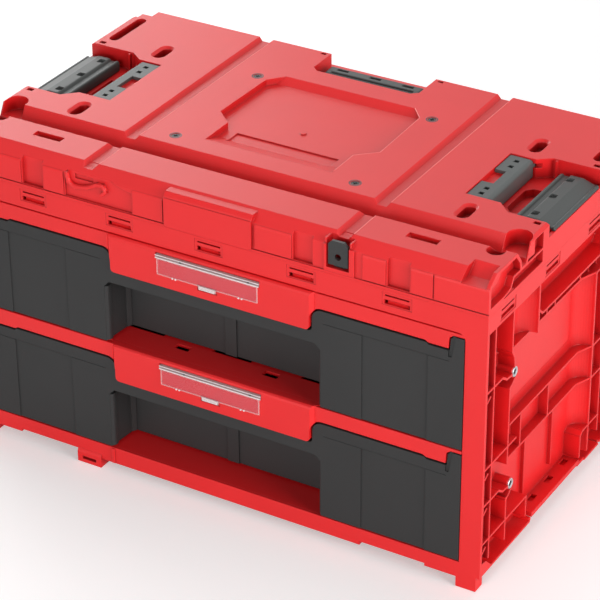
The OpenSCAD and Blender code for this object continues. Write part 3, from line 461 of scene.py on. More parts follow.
def piece(name: str, parts: list[Skin], finish: Finish,
          smooth: bool = True) -> bpy.types.Object:
    """One object from several skins.

    Args:
        name: name of the object.
        parts: the skins.
        finish: its finish.
        smooth: whether faces meeting at less than SMOOTH_BELOW degrees are shaded as one surface.

    Returns:
        The object, linked to the scene.
    """
    faces: list[list[int]] = []
    base = 0
    for part in parts:
        faces.extend((part.quads + base).tolist())
        faces.extend((cap + base).tolist() for cap in part.caps)
        base += len(part.points)
    mesh = bpy.data.meshes.new(name)
    mesh.from_pydata(np.concatenate([part.points for part in parts]).tolist(), [], faces)
    mesh.validate()
    shell = bmesh.new()
    shell.from_mesh(mesh)
    bmesh.ops.recalc_face_normals(shell, faces=shell.faces)
    shell.to_mesh(mesh)
    shell.free()
    mesh.materials.append(finish.material())
    if smooth:
        mesh.shade_smooth()
        mesh.set_sharp_from_angle(angle=math.radians(SMOOTH_BELOW))
    made = bpy.data.objects.new(name, mesh)
    bpy.context.scene.collection.objects.link(made)
    return made


# ---------------------------------------------------------------- sub-assemblies


@dataclass
class Case:
    """Housing, cover and label shelves: the red mouldings and what is screwed to them."""

    mouldings: tuple[str, ...] = (
        "housing", "front_frame", "left_side_panel", "right_side_panel", "top_cover", "upper_shelf",
        "middle_shelf", "upper_label_band", "lower_label_band", "rear_panel")
    latches: tuple[str, ...] = ("left_latch", "right_latch")
    dark_metal: tuple[str, ...] = ("cover_screws", "lock_slider")

    def build(self, nodes: dict[str, bpy.types.Object]) -> list[str]:
        """Dresses the case.

        Args:
            nodes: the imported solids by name.

        Returns:
            The names of the pieces it dressed.
        """
        made = []
        for names, finish in ((self.mouldings, CASE_RED), (self.latches, LATCH_GREY),
                              (self.dark_metal, BLACK_STEEL)):
            for name in names:
                dress(nodes[name], finish)
                made.append(name)
        return made


@dataclass
class CoverTrim:
    """Small parts of the cover: slot floors, strap loop, groove skins, screw heads with dark rings of
    painted shade round them, and painted edge highlights.
    """

    slot_centre: tuple[float, float] = (0.206, -0.1485)
    slot_half: tuple[float, float] = (0.0161, 0.0046)
    slot_rim: float = 0.33695
    slot_floor: float = 0.3342
    notch_centre: tuple[float, float] = (0.2056, -0.00675)
    notch_half: tuple[float, float] = (0.0070, 0.0142)
    notch_rim: float = 0.33500
    notch_floor: float = 0.3344
    notch_wall: float = 0.0010
    loop_y: float = -0.18555
    loop_radius: float = 0.0021
    loop_path: tuple[tuple[float, float], ...] = (
        (-0.1595, 0.329), (-0.158, 0.3205), (-0.151, 0.3165), (-0.136, 0.319), (-0.125, 0.325),
        (-0.118, 0.3255), (-0.115, 0.320), (-0.120, 0.3155))
    groove: tuple[float, float] = (0.1307, 0.1476)
    groove_fronts: tuple[float, float] = (-0.1792, -0.1727)
    groove_back: float = -0.1640
    flank_front: float = -0.1768
    groove_floor: tuple[float, float] = (0.3338, 0.3351)
    flank_heights: tuple[float, float, float] = (0.3341, 0.3353, 0.3371)
    nose: tuple[tuple[float, float], ...] = (
        (-0.1790, 0.3351), (-0.1790, 0.3338), (-0.1812, 0.3330), (-0.1814, 0.3336))
    screw_places: tuple[tuple[float, float], ...] = (
        (-0.1, -0.0854), (0.1, -0.0854), (-0.1, 0.0685), (0.1, 0.0685))
    screw_radius: float = 0.00435
    screw_top: float = 0.33975
    screw_dome: float = 0.0006
    screw_skirt: float = 0.0024
    cross_depth: float = 0.0022
    cross_arm: float = 0.0012
    cross_reach: float = 0.0032
    cross_soft: float = 0.0004
    # profile of the dark ring that paints shade round each cover screw head
    shade_ring_profile: tuple[tuple[float, float], ...] = (
        (0.00445, -0.0008), (0.0050, 0.00008), (0.0061, 0.00012), (0.0063, -0.0002))
    deck: float = 0.340
    bead_radius: float = 0.0005
    bead_sunk: float = 0.0003
    # lines along which a highlight is painted on convex edges
    highlight_lines: tuple[tuple[tuple[float, float], ...], ...] = (
        ((0.0740, 0.0820), (0.0880, 0.0655), (0.0900, -0.0185), (0.0705, -0.0365), (0.0705, -0.0740)),
        ((0.1478, -0.1020), (0.1478, 0.1505)), ((-0.1305, -0.1020), (-0.1305, 0.1505)),
        ((0.1478, -0.1720), (0.1478, -0.1320)), ((-0.1305, -0.1720), (-0.1305, -0.1320)))

    def build(self, nodes: dict[str, bpy.types.Object]) -> list[str]:
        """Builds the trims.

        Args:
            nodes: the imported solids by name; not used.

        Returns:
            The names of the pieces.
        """
        made = [self.slots(), self.loop(), self.groove_skins(), self.heads(), self.shade_rings(),
                self.highlight_beads()]
        for part in made:
            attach(part, "case")
        return [part.name for part in made]

    def highlight_beads(self) -> bpy.types.Object:
        """Painted highlights on the right-hand edges of recess and grooves: pale round bars, slightly
        raised, sunk into those edges.
        """
        parts = []
        for line in self.highlight_lines:
            corners = np.array([[x, y, self.deck - self.bead_sunk] for x, y in line])
            parts.append(tube(corners, self.bead_radius, (0.0, 0.0, 1.0), sides=8, rounding=0))
        return piece("highlight_beads", parts, EDGE_HIGHLIGHT)

    def slots(self) -> bpy.types.Object:
        """Floors under the two slots of the front strip and under the notches of the latch plates."""
        parts = [dish((side * self.slot_centre[0], self.slot_centre[1]), self.slot_half, self.slot_rim,
                      self.slot_floor) for side in SIDES]
        parts += [dish((side * self.notch_centre[0], self.notch_centre[1]), self.notch_half, self.notch_rim,
                       self.notch_floor, self.notch_wall) for side in SIDES]
        return piece("slot_floors", parts, CASE_RED)

    def loop(self) -> bpy.types.Object:
        """The strap loop as a round bar."""
        corners = np.array([[x, self.loop_y, z] for x, z in self.loop_path])
        return piece("strap_loop", [tube(corners, self.loop_radius)], CASE_RED)

    def groove_skins(self) -> bpy.types.Object:
        """Skins that close the grooves at the front: a floor plate and two slanted flanks along Y."""
        inner, outer = self.groove
        low, high = self.groove_floor
        foot, bend, rim = self.flank_heights
        floor = np.array([[inner, high], [outer, high], [outer, low], [inner, low]])
        left = np.array([[inner + 0.0041, foot], [inner + 0.0040, bend], [inner + 0.0027, rim],
                         [inner - 0.0008, rim], [inner - 0.0008, foot]])
        right = np.array([[outer - 0.0036, foot], [outer - 0.0035, bend], [outer - 0.0022, rim],
                          [outer + 0.0008, rim], [outer + 0.0008, foot]])
        parts = []
        for side, front in zip(SIDES, self.groove_fronts):
            flank_front = max(front, self.flank_front)
            parts.append(carried(floor, (front, self.groove_back), side))
            parts.extend(carried(flank, (flank_front, self.groove_back), side) for flank in (left, right))
        nose = np.array(self.nose)
        parts.append(loft(np.stack([np.stack([np.full(len(nose), x), nose[:, 0], nose[:, 1]], axis=1)
                                    for x in (-outer, -inner)])))
        return piece("groove_skins", parts, CASE_RED)

    def heads(self) -> bpy.types.Object:
        """Domed heads with a cross-shaped recess.

        The height is top - dome * (r / radius)^4 - depth * cross, and cross is 1 where |x| < arm and
        |y| < reach, or the other way round, with a short slope at its rim.

        Returns:
            The heads as one piece.
        """
        radii = np.concatenate([[0.00005], np.linspace(0.0003, self.screw_radius - 0.0002, 14),
                                [self.screw_radius]])
        turn = full_turn(48)
        x = radii[:, None] * np.cos(turn)[None, :]
        y = radii[:, None] * np.sin(turn)[None, :]
        arm, reach, soft = self.cross_arm, self.cross_reach, self.cross_soft
        bar = window(x, -arm, arm, soft) * window(y, -reach, reach, soft)
        cross = np.maximum(bar, window(y, -arm, arm, soft) * window(x, -reach, reach, soft))
        relative = (radii / self.screw_radius)[:, None]
        z = self.screw_top - self.screw_dome * relative ** 4 - self.cross_depth * cross
        parts = []
        for place in self.screw_places:
            rings = np.stack([x + place[0], y + place[1], z], axis=2)
            skirt = rings[-1] * [1.0, 1.0, 0.0] + [0.0, 0.0, self.screw_top - self.screw_skirt]
            parts.append(loft(np.concatenate([rings, skirt[None]])))
        return piece("cover_screw_heads", parts, SCREW_STEEL)

    def shade_rings(self) -> bpy.types.Object:
        """Thin dark rings round the screw heads that paint the shade round each head, a lathe profile of
        four corners.
        """
        turn = full_turn(40)
        profile = np.array(self.shade_ring_profile) + [0.0, self.deck]
        closed = np.concatenate([profile, profile[:1]])
        parts = []
        for place in self.screw_places:
            rings = np.stack([np.stack([place[0] + r * np.cos(turn), place[1] + r * np.sin(turn),
                                        np.full(len(turn), z)], axis=1) for r, z in closed])
            parts.append(loft(rings, False, False))
        return piece("cover_screw_shade_rings", parts, BLACK_STEEL)


@dataclass
class Valance:
    """The red strips that fill the step in front of the label bands, one over each drawer wing."""

    level: str
    foot: float
    face_y: float = -0.1873
    back_y: float = -0.1829
    bevel: float = 0.0005
    corners: tuple[tuple[float, float], ...] = (
        (0.1145, 0.1220), (0.1145, 0.1036), (0.1165, 0.1048), (0.1190, 0.1057), (0.1220, 0.1060),
        (0.2302, 0.1060), (0.2336, 0.1040), (0.2536, 0.1040), (0.2545, 0.1158), (0.2592, 0.1194),
        (0.2700, 0.1194), (0.2700, 0.1220))

    def build(self, nodes: dict[str, bpy.types.Object]) -> list[str]:
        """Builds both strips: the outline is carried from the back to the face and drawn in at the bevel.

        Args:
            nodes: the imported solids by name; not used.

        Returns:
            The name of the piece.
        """
        outline = np.array(self.corners)
        middle = outline.mean(axis=0)
        parts = []
        for side in SIDES:
            rings = []
            for inset, y in ((0.0, self.back_y), (0.0, self.face_y + self.bevel), (self.bevel, self.face_y)):
                x, z = (outline - np.sign(outline - middle) * inset).T
                rings.append(np.stack([side * x, np.full(len(x), y), self.foot + z], axis=1))
            parts.append(loft(np.stack(rings)))
        made = piece(f"{self.level}_valance", parts, CASE_RED, smooth=False)
        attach(made, "case")
        return [made.name]


@dataclass
class SideTrim:
    """Small parts of the side walls: screw heads with a dark plug in the socket that paints its shade, and
    the floors of the slotted sill.
    """

    screw_rows: tuple[float, float] = (-0.126, 0.1315)
    screw_heights: tuple[float, float] = (0.089, 0.213)
    head: tuple[tuple[float, float], ...] = (
        (0.0020, 0.2700), (0.0020, 0.2888), (0.0034, 0.2888), (0.0034, 0.2910), (0.00525, 0.2910),
        (0.00525, 0.2920), (0.0049, 0.2924), (0.0042, 0.2924), (0.0034, 0.2920), (0.0029, 0.2918),
        (0.0029, 0.2894))
    # a charcoal plug sunk in each socket: painted shade
    socket_shade: tuple[tuple[float, float], ...] = (
        (0.0028, 0.2892), (0.0028, 0.2912), (0.0012, 0.2912), (0.0008, 0.2905))
    # reach along X, along Y and along Z of the pan, the skirt and the two bridges at the sill's ends
    plates: tuple[tuple[tuple[float, float], ...], ...] = (
        ((0.2757, 0.2903), (-0.0718, 0.0268), (0.0202, 0.0212)),
        ((0.2715, 0.2746), (-0.0780, 0.0775), (0.0163, 0.0204)),
        ((0.2742, 0.2915), (-0.0805, -0.0757), (0.0164, 0.0196)),
        ((0.2742, 0.2915), (0.0305, 0.0455), (0.0164, 0.0196)))
    chamfer: float = 0.0003

    def build(self, nodes: dict[str, bpy.types.Object]) -> list[str]:
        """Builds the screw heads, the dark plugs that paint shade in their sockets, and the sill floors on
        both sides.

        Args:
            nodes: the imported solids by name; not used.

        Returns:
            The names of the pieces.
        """
        made = [piece("slide_screw_heads", self.lathed(self.head), ZINC),
                piece("slide_screw_socket_shades", self.lathed(self.socket_shade), TRAY_CHARCOAL),
                piece("sill_floors", self.floors(), CASE_RED, smooth=False)]
        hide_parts("slide_screws")
        for part in made:
            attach(part, "case")
        return [part.name for part in made]

    def lathed(self, profile: tuple[tuple[float, float], ...]) -> list[Skin]:
        """A profile of (radius, x) turned about each screw's axis: (x, y0 + r cos t, z0 + r sin t).

        Args:
            profile: radius and place along X of each ring.

        Returns:
            One skin for each screw.
        """
        turn = full_turn(32)
        radius, along = np.array(profile).T
        parts = []
        for side in SIDES:
            for y in self.screw_rows:
                for z in self.screw_heights:
                    parts.append(loft(np.stack([
                        np.repeat(side * along[:, None], len(turn), axis=1),
                        y + radius[:, None] * np.cos(turn)[None, :],
                        z + radius[:, None] * np.sin(turn)[None, :]], axis=2)))
        return parts

    def floors(self) -> list[Skin]:
        """The pan in the sill's hollow, the skirt behind it and the bridges at its ends, as short prisms."""
        parts = []
        for side in SIDES:
            for (x0, x1), ends, (z0, z1) in self.plates:
                cut = self.chamfer
                shape = np.array([[x0, z0], [x1, z0], [x1, z1 - cut], [x1 - cut, z1], [x0, z1]])
                parts.append(carried(shape, ends, side))
        return parts


@dataclass
class LatchSprings:
    """The pair of coil springs behind one latch plate, pressed together as the plate is pulled out."""

    side: str
    sign: float
    span: tuple[float, float] = (0.2031, 0.2174)
    rows: tuple[float, float] = (-0.035, 0.025)
    height: float = 0.326
    radius: float = 0.0025
    wire: float = 0.00042
    turns: float = 6.0
    travel: float = 0.006

    def build(self, nodes: dict[str, bpy.types.Object]) -> list[str]:
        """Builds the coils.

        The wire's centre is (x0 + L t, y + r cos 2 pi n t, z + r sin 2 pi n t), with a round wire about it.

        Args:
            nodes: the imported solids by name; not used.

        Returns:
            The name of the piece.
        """
        t = np.linspace(0.0, 1.0, 145)
        turn = 2.0 * np.pi * self.turns * t
        length = self.span[1] - self.span[0]
        radial = np.stack([np.zeros_like(t), np.cos(turn), np.sin(turn)], axis=1)
        slope = np.stack([np.full_like(t, length), -self.radius * 2.0 * np.pi * self.turns * np.sin(turn),
                          self.radius * 2.0 * np.pi * self.turns * np.cos(turn)], axis=1)
        slope /= np.linalg.norm(slope, axis=1, keepdims=True)
        across = np.cross(slope, radial)
        phase = np.radians(np.arange(8) * 45.0)
        parts = []
        for row in self.rows:
            centre = np.array([self.span[0], row, self.height]) + radial * self.radius
            centre[:, 0] += length * t
            rings = (centre[:, None, :] + self.wire * (radial[:, None, :] * np.cos(phase)[None, :, None]
                                                       + across[:, None, :] * np.sin(phase)[None, :, None]))
            parts.append(loft(rings * [self.sign, 1.0, 1.0]))
        made = piece(f"{self.side}_latch_coils", parts, SPRING)
        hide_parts(f"{self.side}_latch_springs")
        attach(made, "case")
        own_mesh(made)
        return [made.name]


@dataclass(frozen=True)
class Pocket:
    """A rectangular sink in a grip: reach across it, reach along it, and depth, in metres."""

    across: tuple[float, float]
    along: tuple[float, float]
    depth: float


@dataclass
class Grip:
    """A hand grip: one profile carried along a straight path, with windows and grooves sunk into it."""

    name: str
    top: np.ndarray
    under: np.ndarray
    span: tuple[float, float]
    pockets: tuple[Pocket, ...]
    along_x: bool = False
    mirrored: bool = False
    step: float = 0.0005
    end_round: float = 0.0022

    def build(self, nodes: dict[str, bpy.types.Object]) -> list[str]:
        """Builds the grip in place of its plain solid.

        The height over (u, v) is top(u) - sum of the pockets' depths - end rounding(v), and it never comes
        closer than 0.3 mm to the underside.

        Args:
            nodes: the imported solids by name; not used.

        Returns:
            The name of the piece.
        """
        u = np.arange(self.top[0, 0], self.top[-1, 0] + self.step / 2, self.step)
        v = np.concatenate([[self.span[0]], self.span[0] + np.array([0.0003, 0.0008, 0.0015]),
                            np.arange(self.span[0] + 0.0024, self.span[1] - 0.0024, 0.0006),
                            self.span[1] - np.array([0.0015, 0.0008, 0.0003]), [self.span[1]]])
        height = np.repeat(np.interp(u, self.top[:, 0], self.top[:, 1])[None, :], len(v), axis=0)
        for sink in self.pockets:
            height -= sink.depth * (window(v, *sink.along, 0.0006)[:, None]
                                    * window(u, *sink.across, 0.0005)[None, :])
        near = np.clip(self.end_round - np.minimum(v - self.span[0], self.span[1] - v), 0.0, self.end_round)
        height -= (self.end_round - np.sqrt(self.end_round ** 2 - near ** 2))[:, None] * 0.8
        order = np.argsort(self.under[:, 0])
        floor = np.interp(u, self.under[order, 0], self.under[order, 1]) + 0.0003
        height = np.maximum(height, np.minimum(floor, self.top[:, 1].max())[None, :])
        low_u = np.repeat(self.under[None, :, 0], len(v), axis=0)
        low_z = np.repeat(self.under[None, :, 1], len(v), axis=0)
        across = np.concatenate([np.repeat(u[None, :], len(v), axis=0), low_u], axis=1)
        if self.mirrored:
            across = -across
        tall = np.concatenate([height, low_z], axis=1)
        path = np.repeat(v[:, None], across.shape[1], axis=1)
        rings = np.stack([path, across, tall] if self.along_x else [across, path, tall], axis=2)
        made = piece(self.name + "_skin", [loft(rings)], GRIP_GREY)
        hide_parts(self.name)
        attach(made, "case")
        return [made.name]


def side_grip(mirrored: bool) -> Grip:
    """A side grip: rounded inner bar, finger groove, windows, sloped flank and raised outer lip.

    Args:
        mirrored: whether it is the left one.

    Returns:
        The grip, not built yet.
    """
    top = np.array([
        [0.2520, 0.3306], [0.2524, 0.3316], [0.2532, 0.3321], [0.2550, 0.3321], [0.2558, 0.3315],
        [0.2563, 0.3302], [0.2618, 0.3302], [0.2624, 0.3320], [0.2632, 0.3328], [0.2644, 0.3330],
        [0.2758, 0.3330], [0.2772, 0.3325], [0.2884, 0.3288], [0.2892, 0.3286], [0.2898, 0.3292],
        [0.2912, 0.3292], [0.2918, 0.3288], [0.2920, 0.3280]])
    under = np.array([
        [0.2920, 0.3254], [0.2896, 0.3252], [0.2892, 0.3264], [0.2760, 0.3298], [0.2551, 0.3298],
        [0.2550, 0.3212], [0.2521, 0.3210]])
    half, rows = 0.0036, (-0.043, -0.005, 0.032)
    windows = tuple(Pocket((0.2638, 0.2704), (y - half, y + half), 0.0026) for y in rows)
    name = "left_grip" if mirrored else "right_grip"
    return Grip(name, top, under, (-0.0535, 0.043), windows, mirrored=mirrored)


def rear_grip() -> Grip:
    """The rear grip: sloped front, narrow finger groove, three long windows."""
    top = np.array([
        [0.1160, 0.3292], [0.1165, 0.3302], [0.1212, 0.3302], [0.1240, 0.3318], [0.1250, 0.3322],
        [0.1300, 0.3330], [0.1384, 0.3330], [0.1394, 0.3324], [0.1400, 0.3310]])
    under = np.array([
        [0.1400, 0.3212], [0.1371, 0.3210], [0.1370, 0.3297], [0.1191, 0.3298], [0.1190, 0.3212],
        [0.1161, 0.3210]])
    half, rows = 0.0064, (-0.038, 0.0, 0.038)
    windows = tuple(Pocket((0.1328, 0.1364), (x - half, x + half), 0.0026) for x in rows)
    groove = Pocket((0.1256, 0.1286), (-0.0478, 0.0478), 0.0018)
    return Grip("rear_grip", top, under, (-0.054, 0.054), (*windows, groove), along_x=True)


@dataclass
class Drawer:
    """One charcoal tray with its slides, their ball cages and the bevels of its hand recess."""

    level: str
    sides: tuple[str, str] = ("left", "right")
    rails: tuple[str, ...] = ("outer", "middle", "inner")
    web: float = 0.0014
    gap: float = 0.0020
    reach: float = 0.0160
    balls: int = 22
    ball_radius: float = 0.0012
    cage_steel: float = 0.0005
    wedge: tuple[tuple[float, float], ...] = (
        (0.1214, -0.18795), (0.1186, -0.1853), (0.1182, -0.1838), (0.1184, -0.1800), (0.1212, -0.1800))
    wedge_top: float = 0.0610
    fillet: tuple[tuple[float, float], ...] = (
        (0.1200, -0.1556), (0.1176, -0.1556), (0.1152, -0.1512), (0.1152, -0.1490), (0.1200, -0.1490))
    fillet_top: float = 0.0760
    bevel_foot: float = 0.0004

    def build(self, nodes: dict[str, bpy.types.Object]) -> list[str]:
        """Dresses the drawer.

        Args:
            nodes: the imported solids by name.

        Returns:
            The names of the pieces it dressed.
        """
        rails = [f"{self.level}_{side}_{rail}_rail" for side in self.sides for rail in self.rails]
        trays = [f"{self.level}_drawer", f"{self.level}_drawer_front"]
        for name in trays:
            dress(nodes[name], TRAY_CHARCOAL)
        for name in rails:
            dress(nodes[name], ZINC)
        return [*trays, *rails, *self.bearings(), self.recess_edges()]

    def recess_edges(self) -> str:
        """Upright bevels of the hand recess: a wedge at each wing's edge, a fillet in each rear corner.

        Each is an (x, y) outline carried upwards.

        Returns:
            The name of the piece.
        """
        low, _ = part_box(f"{self.level}_drawer_front")
        foot = low[2]
        parts = []
        for side in SIDES:
            for outline, top in ((self.wedge, self.wedge_top), (self.fillet, self.fillet_top)):
                x, y = np.array(outline).T
                parts.append(loft(np.stack([np.stack([side * x, y, np.full(len(x), foot + z)], axis=1)
                                            for z in (self.bevel_foot, top)])))
        edges = piece(f"{self.level}_recess_edges", parts, TRAY_CHARCOAL, smooth=False)
        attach(edges, f"{self.level}_drawer_body")
        return edges.name

    def bearings(self) -> list[str]:
        """Ball cages in the middle rails: a bent steel strip with two rows of half-sunk balls.

        Each ball is a sphere of latitude rings; the whole row is one array shifted along Y.

        Returns:
            The names of the cages.
        """
        made = []
        low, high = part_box(f"{self.level}_right_middle_rail")
        centre_z = (low[2] + high[2]) / 2
        lat = np.radians(np.linspace(-80.0, 80.0, 6))
        lon = np.radians(np.arange(8) * 45.0)
        ball = self.ball_radius * np.stack([
            np.cos(lat)[:, None] * np.cos(lon)[None, :], np.cos(lat)[:, None] * np.sin(lon)[None, :],
            np.repeat(np.sin(lat)[:, None], 8, axis=1)], axis=2)
        for side, sign in (("left", -1.0), ("right", 1.0)):
            x = sign * (high[0] - self.web - self.gap)
            bulge = sign * 0.0012
            profile = np.array([
                [0.0, -self.reach], [0.0, -self.reach + 0.004], [bulge, -self.reach + 0.0055],
                [bulge, self.reach - 0.0055], [0.0, self.reach - 0.004], [0.0, self.reach]])
            thick = np.concatenate([profile, profile[::-1] + [-sign * self.cage_steel, 0.0]])
            ys = np.linspace(low[1] + 0.03, high[1] - 0.09, 2)
            parts = [carried(thick + [x, centre_z], ys)]
            for row in (-1.0, 1.0):
                for y in np.linspace(ys[0] + 0.006, ys[1] - 0.006, self.balls):
                    parts.append(loft(ball + [x, y, centre_z + row * (self.reach - 0.0022)]))
            cage = piece(f"{self.level}_{side}_ball_cage", parts, SPRING)
            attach(cage, f"{self.level}_middle_rails")
            made.append(cage.name)
        return made


@dataclass
class LabelCover:
    """The clear flap over a label: thin rim and pane, a hinge bar with two ribs, a ribbed finger tab."""

    level: str
    rim: float = 0.0012
    depth: float = 0.0012
    corner: float = 0.0008
    half: float = 0.0560
    bar_half: float = 0.0574
    bar_low: float = 0.0038
    dots: tuple[float, ...] = (-0.0290, 0.0458)

    def build(self, nodes: dict[str, bpy.types.Object]) -> list[str]:
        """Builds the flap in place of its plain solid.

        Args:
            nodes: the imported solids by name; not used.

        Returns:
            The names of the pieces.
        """
        solid = f"{self.level}_label_cover"
        low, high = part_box(solid)
        front = low[1]
        bottom = low[2] + 0.0035
        top = high[2] - self.bar_low
        outline = rounded_outline(self.half, bottom, top, self.corner)
        centre = np.array([0.0, (bottom + top) / 2])
        reach = np.array([self.half, (top - bottom) / 2])

        def ring(inset: float, y: float) -> np.ndarray:
            """The flap's outline drawn in by so much, at depth y."""
            shrunk = centre + (outline - centre) * (1.0 - inset / reach)
            return np.stack([shrunk[:, 0], np.full(len(shrunk), y), shrunk[:, 1]], axis=1)

        back = front + self.depth
        rim_rings = np.stack([
            ring(0.0002, back), ring(0.0, back - 0.0002), ring(0.0, front + 0.0003), ring(0.0003, front),
            ring(self.rim - 0.0003, front), ring(self.rim, front + 0.0003), ring(self.rim, back - 0.0002),
            ring(self.rim - 0.0003, back), ring(0.0002, back)])
        pane_rings = np.stack([ring(self.rim, front + 0.0010), ring(self.rim, front + 0.0004)])
        stem = f"{self.level}_label"
        bar = self.strip((front + 0.0006, high[1] - 0.0004), (top, high[2]))
        tab = self.strip((front + 0.0006, front + 0.0012), (bottom - 0.0034, bottom + 0.0008), 0.0096)
        made = [piece(f"{stem}_rim", [loft(rim_rings, False, False)], CLEAR_RIM),
                piece(f"{stem}_pane", [loft(pane_rings)], CLEAR_PANE),
                piece(f"{stem}_bar", [bar, tab], CLEAR_BAR),
                piece(f"{stem}_ribs", self.ribs(front, bottom, high[2]), CLEAR_EDGE),
                piece(f"{stem}_rivets", self.rivets(front, high[2]), BLACK_STEEL)]
        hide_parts(solid)
        for part in made:
            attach(part, f"{self.level}_flap")
        return [part.name for part in made]

    def strip(self, y: tuple[float, float], z: tuple[float, float], half: float | None = None,
              x: float = 0.0) -> Skin:
        """A flat strip along X with rounded corners.

        Args:
            y: its front and back.
            z: its lower and upper edge.
            half: half its length, the bar's own if left out.
            x: its middle.

        Returns:
            Its skin.
        """
        flat = rounded_outline(half or self.bar_half, z[0], z[1], min(0.0005, (z[1] - z[0]) / 2.2))
        return carried(flat + [x, 0.0], (y[1], y[0]))

    def ribs(self, front: float, bottom: float, high: float) -> list[Skin]:
        """The two white ribs of the bar, the finger tab with its three ribs, and two pairs of small feet.

        Args:
            front: the flap's front face.
            bottom: the pane's lower edge.
            high: the bar's upper edge.

        Returns:
            One skin for each.
        """
        made = [self.strip((front, front + 0.0007), (high - 0.0007, high - 0.0001)),
                self.strip((front, front + 0.0007), (high - self.bar_low, high - self.bar_low + 0.0007))]
        for rib in bottom + np.array([-0.0032, -0.0019, -0.0006]):
            made.append(self.strip((front + 0.0001, front + 0.0006), (rib, rib + 0.0007), 0.0088))
        for x in (-0.0385, -0.0350, 0.0350, 0.0385):
            feet = (bottom - 0.0010, bottom + 0.0005)
            made.append(self.strip((front + 0.0003, front + 0.0011), feet, 0.0008, x))
        return made

    def rivets(self, front: float, high: float) -> list[Skin]:
        """Small dark rivets in the bar, and the dark seam between them, as rings about a line along Y.

        Args:
            front: the flap's front face.
            high: the bar's upper edge.

        Returns:
            One skin for each.
        """
        turn = full_turn(12)
        middle = high - 0.0019
        made = []
        for x in self.dots:
            rings = [np.stack([x + r * np.cos(turn), np.full(len(turn), front + y),
                               middle + 0.7 * r * np.sin(turn)], axis=1)
                     for r, y in ((0.0013, 0.0009), (0.0013, 0.0003), (0.0009, 0.0002))]
            made.append(loft(np.stack(rings)))
        seam = (middle - 0.00011, middle + 0.00011)
        made.append(self.strip((front + 0.0005, front + 0.0008), seam, 0.0545))
        return made


# ---------------------------------------------------------------- studio


@dataclass(frozen=True)
class Softbox:
    """A square lamp that faces a point."""

    name: str
    place: tuple[float, float, float]
    size: float
    watts: float
    aim: tuple[float, float, float] = (0.0, 0.0, 0.17)

    def build(self) -> bpy.types.Object:
        """The lamp, turned towards its aim."""
        data = bpy.data.lights.new(self.name, "AREA")
        data.shape = "SQUARE"
        data.size = self.size
        data.energy = self.watts
        lamp = bpy.data.objects.new(self.name, data)
        bpy.context.scene.collection.objects.link(lamp)
        way = Vector(self.aim) - Vector(self.place)
        turned = way.to_track_quat("-Z", "Y").to_matrix().to_4x4()
        lamp.matrix_world = Matrix.Translation(self.place) @ turned
        return lamp


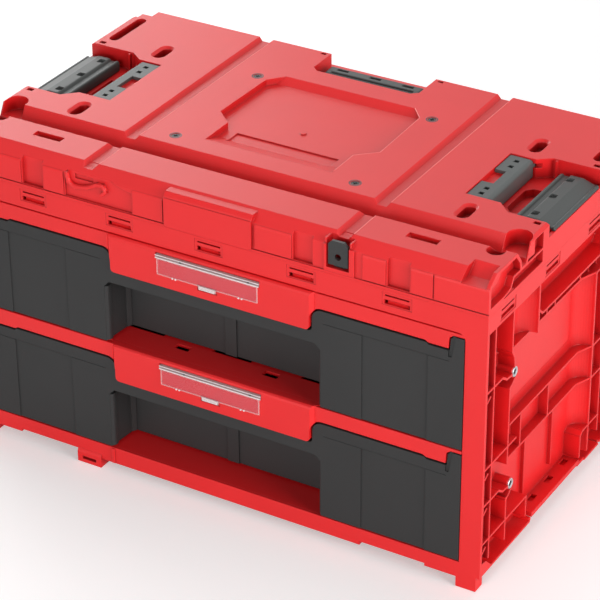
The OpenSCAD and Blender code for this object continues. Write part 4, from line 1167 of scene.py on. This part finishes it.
@dataclass
class Studio:
    """Camera, lamps, pale floor and white surroundings."""

    azimuth: float = 30.593
    elevation: float = 30.333
    roll: float = -0.405
    shift: tuple[float, float, float] = (0.0135, -0.1187, -2.7347)
    depth_offset: float = 0.0055
    lens: float = 156.846
    floor_size: float = 14.0
    floor_gap: float = 0.0004
    ambient: float = 0.14
    glow: float = 0.34
    lamps: tuple[Softbox, ...] = (
        Softbox("key", (0.3, -3.0, 0.75), 1.6, 47.0),
        Softbox("overhead", (0.1, 0.8, 2.6), 1.8, 22.0),
        Softbox("side", (2.9, -0.7, 0.9), 1.6, 68.0),
        Softbox("rear_left", (-1.9, 1.7, 1.5), 1.4, 14.0, (-0.1, 0.0, 0.34)),
        Softbox("far_left", (-2.4, 1.2, 1.3), 1.4, 18.0, (-0.1, 0.0, 0.34)),
    )

    def camera(self) -> bpy.types.Object:
        """The camera: its back, right and up vectors come from azimuth, elevation and roll.

        Returns:
            The camera object.
        """
        az, el, roll = (math.radians(a) for a in (self.azimuth, self.elevation, self.roll))
        back = np.array([math.sin(az) * math.cos(el), -math.cos(az) * math.cos(el), math.sin(el)])
        right = np.array([math.cos(az), math.sin(az), 0.0])
        up = np.cross(back, right)
        spin = np.array([[math.cos(roll), math.sin(roll), 0.0], [-math.sin(roll), math.cos(roll), 0.0],
                         [0.0, 0.0, 1.0]])
        axes = spin @ np.array([right, up, back])
        place = -axes.T @ np.array(self.shift) + np.array([0.0, self.depth_offset, 0.0])
        data = bpy.data.cameras.new("camera")
        data.sensor_width = 36.0
        data.lens = self.lens
        data.clip_end = 50.0
        eye = bpy.data.objects.new("camera", data)
        bpy.context.scene.collection.objects.link(eye)
        world = np.eye(4)
        world[:3, :3] = axes.T
        world[:3, 3] = place
        eye.matrix_world = Matrix(world.tolist())
        bpy.context.scene.camera = eye
        return eye

    def surroundings(self) -> None:
        """White where the camera, a reflection or a clear piece sees it, and a softer grey for light."""
        world = bpy.data.worlds.new("surroundings")
        bpy.context.scene.world = world
        world.use_nodes = True
        tree = world.node_tree
        back = tree.nodes["Background"]
        seen = tree.nodes.new("ShaderNodeLightPath")
        either = tree.nodes.new("ShaderNodeMath")
        either.operation = "MAXIMUM"
        every = tree.nodes.new("ShaderNodeMath")
        every.operation = "MAXIMUM"
        tree.links.new(seen.outputs["Is Camera Ray"], either.inputs[0])
        tree.links.new(seen.outputs["Is Transmission Ray"], either.inputs[1])
        tree.links.new(either.outputs[0], every.inputs[0])
        tree.links.new(seen.outputs["Is Glossy Ray"], every.inputs[1])
        level = tree.nodes.new("ShaderNodeMapRange")
        level.inputs["To Min"].default_value = self.ambient
        level.inputs["To Max"].default_value = 1.0
        tree.links.new(every.outputs[0], level.inputs["Value"])
        tree.links.new(level.outputs["Result"], back.inputs["Strength"])
        back.inputs["Color"].default_value = (1.0, 1.0, 1.0, 1.0)

    def floor(self) -> bpy.types.Object:
        """A wide pale sheet on which the feet stand."""
        half = self.floor_size / 2
        z = -self.floor_gap
        corners = np.array([[-half, -half, z], [half, -half, z], [half, half, z], [-half, half, z]])
        mesh = bpy.data.meshes.new("floor")
        mesh.from_pydata(corners.tolist(), [], [(0, 1, 2, 3)])
        sheet = bpy.data.objects.new("floor", mesh)
        bpy.context.scene.collection.objects.link(sheet)
        paint = bpy.data.materials.new("floor_paint")
        paint.use_nodes = True
        shader = paint.node_tree.nodes["Principled BSDF"]
        shader.inputs["Base Color"].default_value = (0.86, 0.86, 0.86, 1.0)
        shader.inputs["Roughness"].default_value = 0.9
        shader.inputs["Specular IOR Level"].default_value = 0.1
        # a pale glow that only the camera sees keeps the sheet near white around the shadow
        seen = paint.node_tree.nodes.new("ShaderNodeLightPath")
        level = paint.node_tree.nodes.new("ShaderNodeMapRange")
        level.inputs["To Min"].default_value = 0.0
        level.inputs["To Max"].default_value = self.glow
        paint.node_tree.links.new(seen.outputs["Is Camera Ray"], level.inputs["Value"])
        paint.node_tree.links.new(level.outputs["Result"], shader.inputs["Emission Strength"])
        shader.inputs["Emission Color"].default_value = (1.0, 1.0, 1.0, 1.0)
        mesh.materials.append(paint)
        return sheet

    def build(self) -> None:
        """Sets up everything around the tool box."""
        bpy.context.scene.view_settings.view_transform = "Standard"
        self.camera()
        self.surroundings()
        self.floor()
        for lamp in self.lamps:
            lamp.build()


def main() -> None:
    """Builds the classes in order and reports each piece."""
    logging.basicConfig(level=logging.INFO, format="%(message)s")
    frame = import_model()
    nodes = frame["nodes"]
    parts = (Case(), CoverTrim(), Valance("upper", 0.1545), Valance("lower", 0.0305), SideTrim(),
             LatchSprings("left", -1.0), LatchSprings("right", 1.0), side_grip(True), side_grip(False),
             rear_grip(), Drawer("upper"), Drawer("lower"), LabelCover("upper"), LabelCover("lower"))
    for part in parts:
        for name in part.build(nodes):
            LOG.info("%s: %s", type(part).__name__, name)
    Studio().build()


if __name__ == "__main__":
    main()
